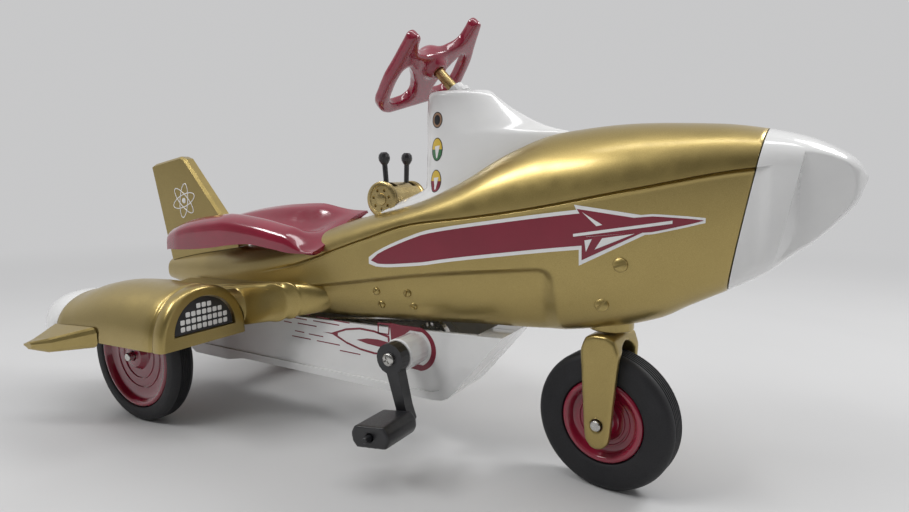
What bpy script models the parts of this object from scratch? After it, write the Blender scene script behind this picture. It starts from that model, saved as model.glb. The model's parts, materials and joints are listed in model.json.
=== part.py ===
"""Missile-shaped pedal car, a die-cast collector's replica about 355 mm long.

Frame: +X is the nose, +Y the driver's left, +Z up; the origin is on the floor, under the middle.
Lengths are written in millimetres and multiplied by MM. Every moving piece hangs on an empty that
stands on its joint's axis, and the empties hold the rest pose.
"""
import math

import bmesh
import bpy
from mathutils import Matrix, Vector
from mathutils.geometry import delaunay_2d_cdt

MM = 0.001
GAP = 0.3                     # between pieces that touch

# Wheels and axles
FRONT_RADIUS = 27.0
FRONT_X = 101.0
FRONT_RIM = 16.0
FRONT_TYRE_HALF = 6.5
REAR_RADIUS = 32.5
REAR_X = -113.4
REAR_Y = 50.2
REAR_RIM = 25.2
REAR_TYRE_HALF = 5.5
AXLE_RADIUS = 2.0

# Crank and pedals
CRANK_X = 21.6
CRANK_Z = 45.9
CRANK_LENGTH = 24.0
CRANK_ANGLE = 15.0            # the right arm's lean forward from straight down, degrees
PEDAL_Y = 44.0
DRIVE_TEETH = 18
DRIVEN_TEETH = 12
TOOTH_PITCH = 2.6

# Steering
FORK_TURN = -7.3              # degrees about +Z at rest
STEERING_RATIO = 0.3          # fork turn for one turn of the steering wheel
COLUMN_TILT = 44.0            # lean of the column back from upright, degrees
COLUMN_FOOT = Vector((81.2, 0.0, 103.6))
COLUMN_LENGTH = 88.0
PITMAN_RADIUS = 6.0
STEERING_ARM = 20.0           # fork axis to the middle of the slot

# Body
NOSE_X = 177.0
SEAM_FOOT_X = 140.6           # the raked seam between body and nose cone, at the bottom
SEAM_FOOT_Z = 80.7
SEAM_LEAN = 9.2 / 53.0        # forward per unit up
WALL = 2.4
TAIL_X = -156.0

# Rear pods
POD_Y = 49.4
POD_HALF = 22.2
POD_FRONT = -66.0
POD_REAR = -149.0
POD_BOTTOM = 45.0
POD_WALL = 1.6

GOLD = ("gold_paint", (0.50, 0.34, 0.11), 0.32, 0.75)
WHITE = ("white_enamel", (0.86, 0.86, 0.85), 0.15, 0.0)
CRIMSON = ("crimson_enamel", (0.36, 0.02, 0.06), 0.16, 0.0)
RUBBER = ("black_rubber", (0.018, 0.018, 0.02), 0.72, 0.0)
BLACK = ("black_satin", (0.012, 0.012, 0.014), 0.38, 0.0)
BRASS = ("brass", (0.60, 0.42, 0.16), 0.28, 1.0)
STEEL = ("bright_steel", (0.62, 0.61, 0.58), 0.25, 1.0)
PLASTIC = ("white_bush_plastic", (0.80, 0.80, 0.78), 0.45, 0.0)

# Body lines along X: pairs of (x, value)
BODY_TOP = ((-156, 70), (-130, 75), (-100, 80), (-70, 86), (-45, 91.5), (-22, 97), (0, 103), (22, 108.5),
            (42, 117), (62, 128), (82, 134.6), (110, 136.8), (135, 135.8), (150, 133.7), (161.2, 130.8),
            (169.3, 127), (174.1, 123.6), (177, 119))
BODY_BOTTOM = ((-156, 58.5), (-113, 53), (-70, 52), (-27, 53.2), (22, 56.2), (55, 58.9), (82, 60.4),
               (105, 64.3), (120, 69), (129, 74.3), (140.6, 80.7), (151.9, 87.6), (158.8, 93.6),
               (164.3, 98.2), (170, 104.2), (174.7, 110.6), (177, 117.8))
BODY_HALF = ((-156, 4.6), (-130, 9), (-100, 13), (-70, 16.5), (-30, 19.5), (22, 21.5), (60, 22.8),
             (95, 23.0), (120, 21.8), (140, 19.6), (150, 18.0), (160, 15.3), (168, 12), (174, 7.6),
             (177, 1.0))
BODY_WAIST = ((-156, 64), (-100, 66), (-50, 73), (0, 88), (24, 96), (53, 100.2), (76, 104.8), (114, 114.2),
              (147, 121.4), (160, 122.4), (170, 121.5), (177, 118.4))
BODY_STEP = ((-20, 0.0), (30, 0.5), (60, 0.9), (148, 0.9), (152, 0.0))
BODY_KEEL = ((-120, 0.72), (-70, 0.55), (-40, 0.42), (60, 0.42), (95, 0.62), (120, 0.72))   # lower is squarer
RECESS_DEPTH = 3.5             # at most, from the widest part of the side
DRUM_X = 3.6
DRUM_Z = 108.3


def line_value(pairs, x):
    """Smooth curve through (x, value) pairs, with slopes that never overshoot."""
    xs = [p[0] for p in pairs]
    ys = [p[1] for p in pairs]
    if x <= xs[0]:
        return float(ys[0])
    if x >= xs[-1]:
        return float(ys[-1])
    runs = [xs[i + 1] - xs[i] for i in range(len(xs) - 1)]
    rises = [(ys[i + 1] - ys[i]) / runs[i] for i in range(len(runs))]
    slopes = [rises[0]]
    for i in range(1, len(rises)):
        pair = rises[i - 1] * rises[i]
        slopes.append(0.0 if pair <= 0 else 2 * pair / (rises[i - 1] + rises[i]))
    slopes.append(rises[-1])
    i = max(k for k in range(len(runs)) if xs[k] <= x)
    t = (x - xs[i]) / runs[i]
    a = (1 + 2 * t) * (1 - t) ** 2
    b = t * (1 - t) ** 2
    c = t * t * (3 - 2 * t)
    d = t * t * (t - 1)
    return a * ys[i] + b * runs[i] * slopes[i] + c * ys[i + 1] + d * runs[i] * slopes[i + 1]


# ---------------------------------------------------------------- scene helpers

def clear_scene():
    for item in list(bpy.data.objects):
        bpy.data.objects.remove(item, do_unlink=True)


def material(spec):
    name, colour, roughness, metallic = spec
    found = bpy.data.materials.get(name)
    if found:
        return found
    made = bpy.data.materials.new(name)
    made.use_nodes = True
    shader = made.node_tree.nodes["Principled BSDF"]
    shader.inputs["Base Color"].default_value = (*colour, 1.0)
    shader.inputs["Roughness"].default_value = roughness
    shader.inputs["Metallic"].default_value = metallic
    return made


def pivot(name, location, turn=0.0, axis="Z", tilt=0.0, parent=None):
    """Empty on a joint axis. `tilt` leans it back about Y first, `turn` is the rest angle."""
    empty = bpy.data.objects.new(name, None)
    bpy.context.collection.objects.link(empty)
    lean = Matrix.Rotation(math.radians(-tilt), 4, "Y")
    spin = Matrix.Rotation(math.radians(turn), 4, axis)
    empty.matrix_local = Matrix.Translation(Vector(location) * MM) @ lean @ spin
    empty.parent = parent
    return empty


def build_object(name, points, faces, finish, parent=None, smooth=35.0):
    """One closed mesh object from points in millimetres, in its parent's frame."""
    mesh = bpy.data.meshes.new(name)
    mesh.from_pydata([Vector(p) * MM for p in points], [], faces)
    tidy = bmesh.new()
    tidy.from_mesh(mesh)
    bmesh.ops.recalc_face_normals(tidy, faces=tidy.faces)
    tidy.to_mesh(mesh)
    tidy.free()
    made = bpy.data.objects.new(name, mesh)
    bpy.context.collection.objects.link(made)
    mesh.materials.append(material(finish))
    mesh.shade_smooth()
    mesh.set_sharp_from_angle(angle=math.radians(smooth))
    made.parent = parent
    return made


def carve(target, tool, operation="DIFFERENCE"):
    """Applies one Boolean to the target's mesh and removes the tool."""
    bpy.context.view_layer.update()
    modifier = target.modifiers.new("carve", "BOOLEAN")
    modifier.operation = operation
    modifier.solver = "EXACT"
    modifier.object = tool
    graph = bpy.context.evaluated_depsgraph_get()
    shaped = bpy.data.meshes.new_from_object(target.evaluated_get(graph))
    target.modifiers.clear()
    target.data = shaped
    bpy.data.objects.remove(tool, do_unlink=True)
    return target


# ---------------------------------------------------------------- shape helpers

def loft_faces(rings, sides):
    faces = []
    for i in range(rings - 1):
        for j in range(sides):
            k = (j + 1) % sides
            faces.append((i * sides + j, i * sides + k, (i + 1) * sides + k, (i + 1) * sides + j))
    faces.append(tuple(range(sides)))
    faces.append(tuple((rings - 1) * sides + j for j in range(sides)))
    return faces


def loft(name, rings, finish, parent=None, smooth=35.0):
    sides = len(rings[0])
    points = [p for ring in rings for p in ring]
    return build_object(name, points, loft_faces(len(rings), sides), finish, parent, smooth)


def lathe(name, profile, finish, parent=None, axis="Y", centre=(0, 0, 0), sides=36):
    """Solid of revolution. The profile is a closed loop of (radius, along) or starts and ends at 0."""
    on_axis = profile[0][0] < 1e-6
    rim = [p for p in profile if p[0] > 1e-6]
    points = []
    for step in range(sides):
        angle = 2 * math.pi * step / sides
        for radius, along in rim:
            points.append((radius * math.cos(angle), radius * math.sin(angle), along))
    n = len(rim)
    faces = []
    spans = n - 1 if on_axis else n
    for step in range(sides):
        after = (step + 1) % sides
        for i in range(spans):
            k = (i + 1) % n
            faces.append((step * n + i, step * n + k, after * n + k, after * n + i))
    if on_axis:
        faces.append(tuple(step * n for step in range(sides)))
        faces.append(tuple(step * n + n - 1 for step in range(sides)))
    centre = Vector(centre)
    turned = []
    for x, y, z in points:
        spot = {"Z": (x, y, z), "Y": (x, z, -y), "X": (z, x, y)}[axis]
        turned.append(Vector(spot) + centre)
    return build_object(name, turned, faces, finish, parent)


def rod(name, radius, low, high, finish, parent=None, axis="Y", centre=(0, 0, 0), sides=20, chamfer=0.3):
    """Round bar with chamfered ends, from `low` to `high` along its axis."""
    profile = [(0, low), (radius - chamfer, low), (radius, low + chamfer), (radius, high - chamfer),
               (radius - chamfer, high), (0, high)]
    return lathe(name, profile, finish, parent, axis, centre, sides)


def block(name, low, high, finish=STEEL, parent=None):
    (a, b, c), (d, e, f) = low, high
    points = [(a, b, c), (d, b, c), (d, e, c), (a, e, c), (a, b, f), (d, b, f), (d, e, f), (a, e, f)]
    faces = [(0, 3, 2, 1), (4, 5, 6, 7), (0, 1, 5, 4), (1, 2, 6, 5), (2, 3, 7, 6), (3, 0, 4, 7)]
    return build_object(name, points, faces, finish, parent)


def plate(name, outline, holes, low, high, finish, parent=None, frame=None, chamfer=0.0, smooth=35.0):
    """Flat plate with holes: outlines in a plane, thickness from `low` to `high` along its normal.

    `frame` turns (u, v, w) into a point; by default u is X, v is Z and w is Y.
    """
    frame = frame or (lambda u, v, w: (u, w, v))
    loops = [outline] + list(holes)
    flat = [Vector(p) for loop in loops for p in loop]
    edges = []
    start = 0
    for loop in loops:
        edges += [(start + i, start + (i + 1) % len(loop)) for i in range(len(loop))]
        start += len(loop)
    result = delaunay_2d_cdt(flat, edges, [], 0, 1e-5)
    kept = []
    for tri in result[2]:
        spot = sum((Vector(result[0][i]) for i in tri), Vector((0, 0))) / len(tri)
        if inside(spot, outline) and not any(inside(spot, hole) for hole in holes):
            kept.append(tri)
    order = {}
    for new, old in enumerate(result[3]):
        for index in old:
            order[index] = new
    count = len(result[0])
    points = [frame(p[0], p[1], low) for p in result[0]] + [frame(p[0], p[1], high) for p in result[0]]
    faces = [tuple(tri) for tri in kept]
    faces += [tuple(i + count for i in reversed(tri)) for tri in kept]
    for a, b in edges:
        i, j = order[a], order[b]
        faces.append((i, j, j + count, i + count))
    made = build_object(name, points, faces, finish, parent, smooth)
    if chamfer:
        bevel = made.modifiers.new("edge", "BEVEL")
        bevel.width = chamfer * MM
        bevel.segments = 1
        bevel.limit_method = "ANGLE"
        bevel.angle_limit = math.radians(50)
    return made


def inside(spot, loop):
    x, y = spot[0], spot[1]
    hit = False
    for i in range(len(loop)):
        (x1, y1), (x2, y2) = loop[i], loop[i - 1]
        if (y1 > y) != (y2 > y) and x < (x2 - x1) * (y - y1) / (y2 - y1) + x1:
            hit = not hit
    return hit


def arc(centre, radius, start, end, count):
    """Points of an arc, angles in degrees from +U."""
    spots = []
    for i in range(count):
        angle = math.radians(start + (end - start) * i / (count - 1))
        spots.append((centre[0] + radius * math.cos(angle), centre[1] + radius * math.sin(angle)))
    return spots


def circle(centre, radius, count=20):
    return arc(centre, radius, 0, 360 - 360 / count, count)


def power(value, exponent):
    return math.copysign(abs(value) ** exponent, value)


# ---------------------------------------------------------------- body sections

def body_section(x, inset=0.0, sides=32):
    """Cross-section ring of the missile body at one station: dome above the waist, fuller below it."""
    top = line_value(BODY_TOP, x) - inset
    bottom = line_value(BODY_BOTTOM, x) + inset
    half = max(line_value(BODY_HALF, x) - inset, 0.4)
    waist = min(max(line_value(BODY_WAIST, x), bottom + 0.3), top - 0.3)
    step = line_value(BODY_STEP, x) + (RECESS_DEPTH if inset > 0 else 0.0)
    keel = line_value(BODY_KEEL, x)
    ring = []
    for j in range(sides):
        angle = 2 * math.pi * (j + 0.5) / sides
        c, s = math.cos(angle), math.sin(angle)
        if s > 0:
            y = half * power(c, 0.86)
            z = waist + (top - waist) * power(s, 0.92)
        else:
            y = (half - step) * power(c, keel)
            z = waist + (waist - bottom) * power(s, keel + 0.14)
        ring.append((x, y, z))
    return ring


def stations(start, end, count):
    return [start + (end - start) * i / (count - 1) for i in range(count)]


def body_solid(name, start, end, count, finish, inset=0.0, sides=32):
    return loft(name, [body_section(x, inset, sides) for x in stations(start, end, count)], finish, smooth=40)


def seam_half(name, forward, gap):
    """Large block on one side of the raked seam, used to part the nose cone from the body."""
    reach = 160.0 if forward else -420.0
    low, high = 20.0, 190.0
    edge_low = SEAM_FOOT_X + (low - SEAM_FOOT_Z) * SEAM_LEAN + gap
    edge_high = SEAM_FOOT_X + (high - SEAM_FOOT_Z) * SEAM_LEAN + gap
    outline = [(edge_low, low), (edge_low + reach, low), (edge_high + reach, high), (edge_high, high)]
    return plate(name, outline, [], -60, 60, STEEL)


def make_fuselage():
    body = body_solid("fuselage", TAIL_X, 160, 20, GOLD)
    carve(body, seam_half("seam", True, -GAP / 2))
    carve(body, body_solid("cavity", -38, 163, 11, GOLD, WALL, 18))
    stem_hole = [(0, 50), (8.7, 50), (8.7, 66.2), (6.6, 66.2), (6.6, 80), (0, 80)]
    carve(body, lathe("stem_hole", stem_hole, STEEL, axis="Z", centre=(FRONT_X, 0, 0), sides=28))
    bushing = [(3.3, 62.0), (8.0, 62.0), (8.4, 62.4), (8.4, 65.9), (3.3, 65.9)]
    lathe("fork_bushing", bushing, GOLD, axis="Z", centre=(FRONT_X, 0, 0), sides=28)
    column = rod("column_hole", 4.4, -10, 70, STEEL, axis="Z", sides=20)
    lean = Matrix.Rotation(math.radians(-COLUMN_TILT), 4, "Y")
    column.matrix_world = Matrix.Translation(COLUMN_FOOT * MM) @ lean
    carve(body, column)
    carve(body, keel_block(GAP))
    carve(body, rod("drum_seat", 7.9, -12.6, 12.6, STEEL, axis="Y", centre=(DRUM_X, 0, DRUM_Z), sides=28))
    for side in (-1, 1):
        carve(body, recess_tool(side))
    return body


def recess_tool(side):
    """Cutter for the flat pedal recess low on the body's side, deeper towards the bottom edge."""
    outline = [(-58, 40), (84.6, 40), (84.6, 66), (86.6, 74), (86.2, 80), (84, 83.6), (80, 85.4),
               (62, 83.6), (28, 79), (-12, 72), (-58, 64)]
    shallow = [line_value(BODY_HALF, x) - 0.9 - (RECESS_DEPTH - 0.9) * min(1.0, max(0.2, (90 - x) / 40))
               for x, z in outline]
    count = len(outline)
    points = [(x, side * depth, z) for (x, z), depth in zip(outline, shallow)]
    points += [(x, side * 40, z) for x, z in outline]
    faces = [(i, (i + 1) % count, (i + 1) % count + count, i + count) for i in range(count)]
    faces.append(tuple(range(count)))
    faces.append(tuple(range(count, 2 * count)))
    return build_object("recess", points, faces, GOLD)


def make_nose():
    nose = body_solid("nose_cone", 130, NOSE_X, 14, WHITE)
    carve(nose, seam_half("seam", False, GAP / 2))
    for side in (-1, 1):
        rear_low, rear_high = (151.2, 84.0), (158.4, 125.6)
        outline = [rear_low, (190, 84.0), (190, 122.5), rear_high]
        depths = (9.6, 3.0, 6.4, 11.2)
        count = len(outline)
        points = [(x, side * d, z) for (x, z), d in zip(outline, depths)]
        points += [(x, side * 40, z) for x, z in outline]
        faces = [(i, (i + 1) % count, (i + 1) % count + count, i + count) for i in range(count)]
        faces += [tuple(range(count)), tuple(range(count, 2 * count))]
        carve(nose, build_object("scoop", points, faces, WHITE))
    spigot = rod("spigot", 9.0, 128, 152, WHITE, axis="X", centre=(0, 0, 104), sides=24, chamfer=1.0)
    return carve(nose, spigot, "UNION")


def cowl_ring(z, sides=22):
    """Horizontal slice of the cowl: round at the back, drawn out to a point at the front."""
    rear = line_value(((86, -16), (98, -15), (104, -5), (109, 12), (114, 21.5), (140, 21.6), (153.5, 23)), z)
    front = line_value(((86, 88), (128, 88), (134.6, 84), (137, 75), (142, 64), (147, 56), (153.5, 48)), z)
    half = line_value(((86, 15.5), (106, 15.0), (116, 13.2), (135, 11.2), (153.5, 9.2)), z)
    ring = []
    for j in range(sides):
        angle = 2 * math.pi * (j + 0.5) / sides
        c, s = math.cos(angle), math.sin(angle)
        reach = (1 - c) / 2
        middle, length = (rear + front) / 2, (front - rear) / 2
        x = middle - length * power(c, 0.8)
        taper = 1.0 - 0.75 * reach ** 1.6
        ring.append((x, half * power(s, 0.8) * taper * 1.06, z))
    return ring


def make_cowl():
    heights = [86, 98, 104, 109, 114, 121, 128, 134, 138, 142, 147, 152.4]
    cowl = loft("cowl", [cowl_ring(z) for z in heights], WHITE, smooth=40)
    carve(cowl, rod("drum_seat", 8.0, -14, 14, STEEL, axis="Y", centre=(DRUM_X, 0, DRUM_Z), sides=28))
    slotted = carve(body_solid("body_shape", -60, 125, 20, GOLD, -GAP), keel_block(0.0))
    carve(cowl, slotted)
    carve(cowl, plate("slot", [(29.5, 149.0), (43, 149.0), (43, 170), (29.5, 170)], [], -5.6, 5.6, STEEL))
    column = lathe("column_bore", [(0, -10), (3.4, -10), (3.4, 59.9), (5.6, 59.9), (5.6, 95), (0, 95)], STEEL,
                   axis="Z", sides=20)
    lean = Matrix.Rotation(math.radians(-COLUMN_TILT), 4, "Y")
    column.matrix_world = Matrix.Translation(COLUMN_FOOT * MM) @ lean
    return carve(cowl, column)


def keel_block(grow):
    """Keel under the cowl's tail, which drops through a slot in the body and carries the drum."""
    outline = [(-11 - grow, 92.3 - grow), (29 + grow, 92.3 - grow), (29 + grow, 113 + grow), (14, 108 + grow),
               (2, 104.6 + grow), (-11 - grow, 101 + grow)]
    return plate("keel", outline, [], -6.1 - grow, 6.1 + grow, WHITE)


def make_drum():
    drum = rod("control_drum", 7.2, -9.6, 9.6, BRASS, centre=(DRUM_X, 0, DRUM_Z), sides=32, chamfer=0.5)
    for y in (-7.2, 7.0):
        low, high = (DRUM_X - 4.6, y - 1.5, DRUM_Z - 0.4), (DRUM_X + 4.6, y + 1.5, DRUM_Z + 13)
        slot = block("lever_slot", low, high)
        carve(drum, slot)
    for side, name in ((-1, "drum_cap_right"), (1, "drum_cap_left")):
        inner, outer = sorted((side * 9.9, side * 12.0))
        rod(name, 7.6, inner, outer, BRASS, centre=(DRUM_X, 0, DRUM_Z), sides=32, chamfer=0.4)


def make_levers():
    """Two ball-topped levers, each on its own axis through the drum."""
    for name, y, lean in (("control_lever_right", -7.2, -5.0), ("control_lever_left", 7.0, 2.0)):
        hinge = pivot(name + "_pivot", (DRUM_X, y, DRUM_Z + 1.2), lean, "Y")
        profile = [(0, 0.6), (1.1, 0.6), (1.15, 13.6), (1.7, 14.3), (2.35, 15.5), (2.5, 16.7), (2.2, 18.0),
                   (1.3, 18.9), (0, 19.2)]
        lathe(name, profile, BLACK, hinge, "Z", (0, 0, 0), 10)


# ---------------------------------------------------------------- seat, fin, wings and pods

def seat_rows(x):
    """Half of the seat's section at one station, from the ridge out and down: pairs of (across, height)."""
    ridge = line_value(((-124, 90.4), (-112, 94.6), (-101, 97.4), (-78, 101.8), (-57, 104.2), (-40, 105.0),
                        (-29, 104.2), (-20, 102.4)), x)
    crest = line_value(((-124, 88.6), (-105, 95.8), (-88, 99.0), (-78, 100.0), (-60, 98.6), (-45, 96.2),
                        (-34, 94.2), (-20, 91.6)), x)
    dish = line_value(((-124, 1.0), (-100, 4.4), (-75, 6.6), (-50, 5.4), (-34, 1.8), (-20, 0.4)), x)
    hem = line_value(((-124, 80.4), (-90, 82.8), (-68, 84.4), (-60, 83.0), (-52, 82.0), (-36, 82.6),
                      (-20, 84.6)), x)
    half = line_value(((-124, 26.6), (-112, 28.6), (-90, 29.2), (-50, 28.4), (-34, 27.2), (-20, 25.4)), x)
    wide = half / 29.0
    flank = crest - dish
    rise = ridge - flank
    return ((0.0, ridge), (3.0 * wide, flank + 0.86 * rise), (7.5 * wide, flank + 0.30 * rise),
            (12.0 * wide, flank), (17.0 * wide, (flank + crest) / 2), (21.5 * wide, crest),
            (26.0 * wide, crest - 1.7),
            (28.6 * wide, crest - 4.8), (29.0 * wide, max(hem, crest - 14.0)))


def make_seat():
    """Saddle with a raised horn at the front, dished flanks and a deep hem; hollow underneath."""
    thick = 2.2
    rings = []
    for x in stations(-124, -20, 12):
        rows = seat_rows(x)
        horn = 6.8 * max(0.0, (x + 40) / 20) ** 1.5
        upper = []
        lower = []
        for across, height in rows:
            spot = x + horn * max(0.0, 1 - across / 16) ** 2
            drop = 0.0 if across == rows[-1][0] else thick
            upper.append((spot, across, height))
            lower.append((spot, max(0.0, across - thick * (across / 29.0) ** 3), height - drop))
        right = [(a, -b, c) for a, b, c in upper]
        right_low = [(a, -b, c) for a, b, c in lower]
        rings.append(right[:0:-1] + upper + lower[:0:-1] + right_low)
    seat = loft("seat", rings, CRIMSON, smooth=50)
    notch = [(-130, -4.6), (-104, -4.6), (-98, -3.0), (-96, 0), (-98, 3.0), (-104, 4.6), (-130, 4.6)]
    carve(seat, plate("fin_notch", notch, [], 60, 120, CRIMSON, frame=lambda u, v, w: (u, v, w)))
    carve(seat, block("pillar", (-82.5, -13.2, 66), (-58.5, 13.4, 91.6), CRIMSON), "UNION")
    relief = [(-16.4, 70), (0, 70), (0, 105.5), (-10, 101.4), (-16.4, 98.9)]
    carve(seat, plate("cowl_relief", relief, [], -17.3, 17.1, CRIMSON))
    return carve(seat, body_solid("body_shape", -120, 0, 12, GOLD, -GAP))


def make_fin():
    outline = [(-150.5, 58), (-167.4, 122.2), (-164, 124.4), (-141.5, 128.4), (-137.5, 127.2), (-96, 82),
               (-100, 72), (-120, 64)]
    fin = plate("tail_fin", outline, [], -3.4, 3.4, GOLD, chamfer=1.2)
    return carve(fin, body_solid("body_shape", TAIL_X - 8, -60, 20, GOLD, -GAP))


def pod_ring(x, inset=0.0, sides=20):
    """Arched section of a pod in its own frame: a flat bottom and a round roof."""
    ridge = line_value(((-180, 59), (-146, 61.5), (-132, 65.6), (-115, 68.8), (-95, 70.0), (-66, 70.4)), x)
    bottom = POD_BOTTOM - line_value(((-150, 3.0), (-66, 0.0)), x)
    half = POD_HALF - inset
    ring = []
    for j in range(sides + 1):
        angle = math.pi * j / sides
        y = half * power(math.cos(angle), 0.92)
        z = bottom + (ridge - inset - bottom) * power(math.sin(angle), 0.92)
        ring.append((x, y, z))
    return ring


def closed_arch(x, inset, drop):
    ring = pod_ring(x, inset)
    first, last = ring[0], ring[-1]
    return [(x, first[1], first[2] - drop)] + ring + [(x, last[1], last[2] - drop)]


def shifted(rings, offset):
    return [[(x, y + offset, z) for x, y, z in ring] for ring in rings]


def make_pod(side, label):
    centre = side * POD_Y
    xs = [POD_FRONT, POD_FRONT - 1.2, -90, -112, -130, POD_REAR]
    insets = [1.0, 0.0, 0.0, 0.0, 0.0, 0.0]
    rings = [closed_arch(x, inset, 0.4) for x, inset in zip(xs, insets)]
    pod = loft("pod_" + label, shifted(rings, centre), GOLD)
    inner = [closed_arch(x, POD_WALL, 8.0) for x in (POD_FRONT - 3.0, -85, -105, -125, POD_REAR + 1.8)]
    carve(pod, loft("pod_hollow", shifted(inner, centre), GOLD))
    window = [(u + centre, v) for u, v in arc((0, 50.0), 15.6, 0, 180, 17)]
    side_on = lambda u, v, w: (w, u, v)
    carve(pod, plate("grille_window", window, [], POD_FRONT - 6, POD_FRONT + 4, STEEL, frame=side_on))
    grille = [(u + centre, v) for u, v in arc((0, 50.0 + GAP), 15.6 - 2 * GAP, 0, 180, 17)]
    plate("pod_grille_" + label, grille, [], POD_FRONT - 2.6, POD_FRONT - 1.0, BLACK, frame=side_on)
    caps = []
    for x, share in ((POD_REAR - GAP, 1.0), (-157, 0.94), (-165, 0.82), (-171, 0.66),
                     (-174, 0.5), (-176.6, 0.26)):
        ring = closed_arch(POD_REAR, 0.6, 0.0)
        mean = 47.0
        caps.append([(x, y * share, mean + (z - mean) * share) for _, y, z in ring])
    loft("tail_cap_" + label, shifted(caps, centre), WHITE)
    make_winglet(side, label)
    return pod


def make_winglet(side, label):
    """Swept blade on the pod's outer side, thick at its leading edge and thin at the back."""
    root = POD_Y + POD_HALF + GAP
    sections = []
    for y, lead, trail, low, high in ((root, -112.5, -150, 40.4, 50.0), (81.0, -133.5, -151, 37.4, 44.0),
                                      (84.5, -144.5, -151.5, 38.2, 41.4)):
        mid, rise = (low + high) / 2, (high - low) / 2
        under = [(lead, mid - 0.5 * rise), (lead - 1.2, mid - 0.85 * rise), (lead - 3, low),
                 (trail + 2.5, mid - 0.5 * rise), (trail, mid - 0.2 * rise)]
        ring = under + [(x, 2 * mid - z) for x, z in reversed(under)]
        sections.append([(x, side * y, z) for x, z in ring])
    blade = loft("winglet_" + label, sections, GOLD, smooth=30)
    rings = [closed_arch(x, -GAP, 6.0) for x in (-90, -105, -120, -133, -154)]
    carve(blade, loft("pod_shape", shifted(rings, side * POD_Y), GOLD))
    return blade


def make_wing(side, label):
    """Fairing swept from the body's side back to a pod, with a bead round its swollen root."""
    rows = ((12.0, -22, 55.8, 70.2), (16.0, -24.5, 55.5, 70.0), (18.5, -27.0, 54.8, 69.6),
            (20.8, -31.5, 54.0, 69.2), (22.2, -36.2, 53.2, 68.7), (22.9, -37.0, 52.8, 68.9),
            (23.2, -39.4, 52.4, 68.1), (25.2, -52, 49.0, 66.8), (27.0, -66, 46.2, 64.4))
    rings = []
    for y, lead, low, high in rows:
        trail = -128.0
        ring = [(trail, side * y, low + 2)]
        for k in range(10):
            angle = math.radians(-90 + 20 * k)
            depth = 9.0
            mid, rise = (low + high) / 2, (high - low) / 2
            ring.append((lead - depth + depth * power(math.cos(angle), 0.8), side * y,
                         mid + rise * power(math.sin(angle), 0.9)))
        ring.append((trail, side * y, low + 7))
        rings.append(ring)
    wing = loft("wing_" + label, rings, GOLD)
    carve(wing, body_solid("body_shape", -158, 20, 24, GOLD, -GAP))
    rings = [closed_arch(x, -GAP, 6.0) for x in (POD_FRONT + 20, -85, -105, -120, -133, POD_REAR)]
    return carve(wing, loft("pod_shape", shifted(rings, side * POD_Y), GOLD))


# ---------------------------------------------------------------- belly housing and drive

def make_belly(side, label):
    """One half of the chain housing: an open-backed shell with a rim at its front and bottom edges."""
    outline = [(63, 56.0), (41, 29.5), (38.5, 26.9), (35, 25.2), (31, 24.8), (-84, 24.8), (-96, 22.4),
               (-122, 22.4), (-129, 27.0), (-130, 30), (-130, 51.6), (-60, 51.0), (0, 52.6)]
    frame = lambda u, v, w: (u, side * w, v)
    shell = plate("belly_housing_" + label, outline, [], GAP / 2, 14.6, WHITE, frame=frame)
    panel = [(54.5, 60), (36.4, 32.2), (34.0, 29.4), (30, 28.2), (-128, 28.2), (-128, 60)]
    carve(shell, plate("panel", panel, [], 13.7, 20, WHITE, frame=frame))
    hollow = [(58.6, 70), (39, 31.4), (36.5, 28.6), (31, 26.8), (-84, 26.8), (-96.4, 24.2), (-121.6, 24.2),
              (-127, 28.0), (-128, 31), (-128, 70)]
    carve(shell, plate("hollow", hollow, [], -5, 12.0, WHITE, frame=frame))
    boss = lathe("boss", [(0, 11.0), (6.9, 11.0), (6.9, 25.6), (6.4, 26.2), (0, 26.2)], WHITE, None, "Y",
                 (CRANK_X, 0, CRANK_Z), 20)
    if side < 0:
        boss.data.transform(Matrix.Scale(-1, 4, (0, 1, 0)))
        boss.data.flip_normals()
    carve(shell, boss, "UNION")
    for x, z, radius in ((CRANK_X, CRANK_Z, 3.4), (REAR_X, REAR_RADIUS, 3.6)):
        low, high = sorted((side * 5.0, side * 40.0))
        carve(shell, rod("bore", radius, low, high, STEEL, centre=(x, 0, z), sides=24))
    return shell


def make_bushes():
    for side, label in ((-1, "right"), (1, "left")):
        bores = (("crank_bush_", CRANK_X, CRANK_Z, 14.0, 26.2, 3.1),
                 ("axle_bush_", REAR_X, REAR_RADIUS, 9.4, 15.6, 3.3))
        for name, x, z, near, far, outer in bores:
            low, high = sorted((side * near, side * far))
            bore = AXLE_RADIUS + GAP
            ring = [(bore, low), (outer, low), (outer, high), (bore, high)]
            lathe(name + label, ring, PLASTIC, None, "Y", (x, 0, z), 20)


def sprocket(name, teeth, half, finish, parent):
    """Toothed disc on a Y axis, bored for the axle it is pressed on."""
    pitch = TOOTH_PITCH * teeth / (2 * math.pi)
    outline = []
    for k in range(teeth):
        for share, rise in ((-0.36, -1.0), (-0.14, 0.75), (0.14, 0.75), (0.36, -1.0)):
            angle = 2 * math.pi * (k + share) / teeth
            reach = pitch + rise
            outline.append((reach * math.cos(angle), reach * math.sin(angle)))
    hole = circle((0, 0), AXLE_RADIUS + GAP, 16)
    return plate(name, outline, [hole], -half, half, finish, parent)


def chain_path(grow):
    """Outline of the belt-like chain round both sprockets, grown by a distance."""
    big = TOOTH_PITCH * DRIVE_TEETH / (2 * math.pi) + grow
    small = TOOTH_PITCH * DRIVEN_TEETH / (2 * math.pi) + grow
    front = Vector((CRANK_X, CRANK_Z))
    rear = Vector((REAR_X, REAR_RADIUS))
    along = rear - front
    heading = math.degrees(math.atan2(along.y, along.x))
    lean = math.degrees(math.acos((big - small) / along.length))
    loop = arc(front, big, heading + lean, heading + 360 - lean, 22)
    loop += arc(rear, small, heading - lean, heading + lean, 14)
    return loop


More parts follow.
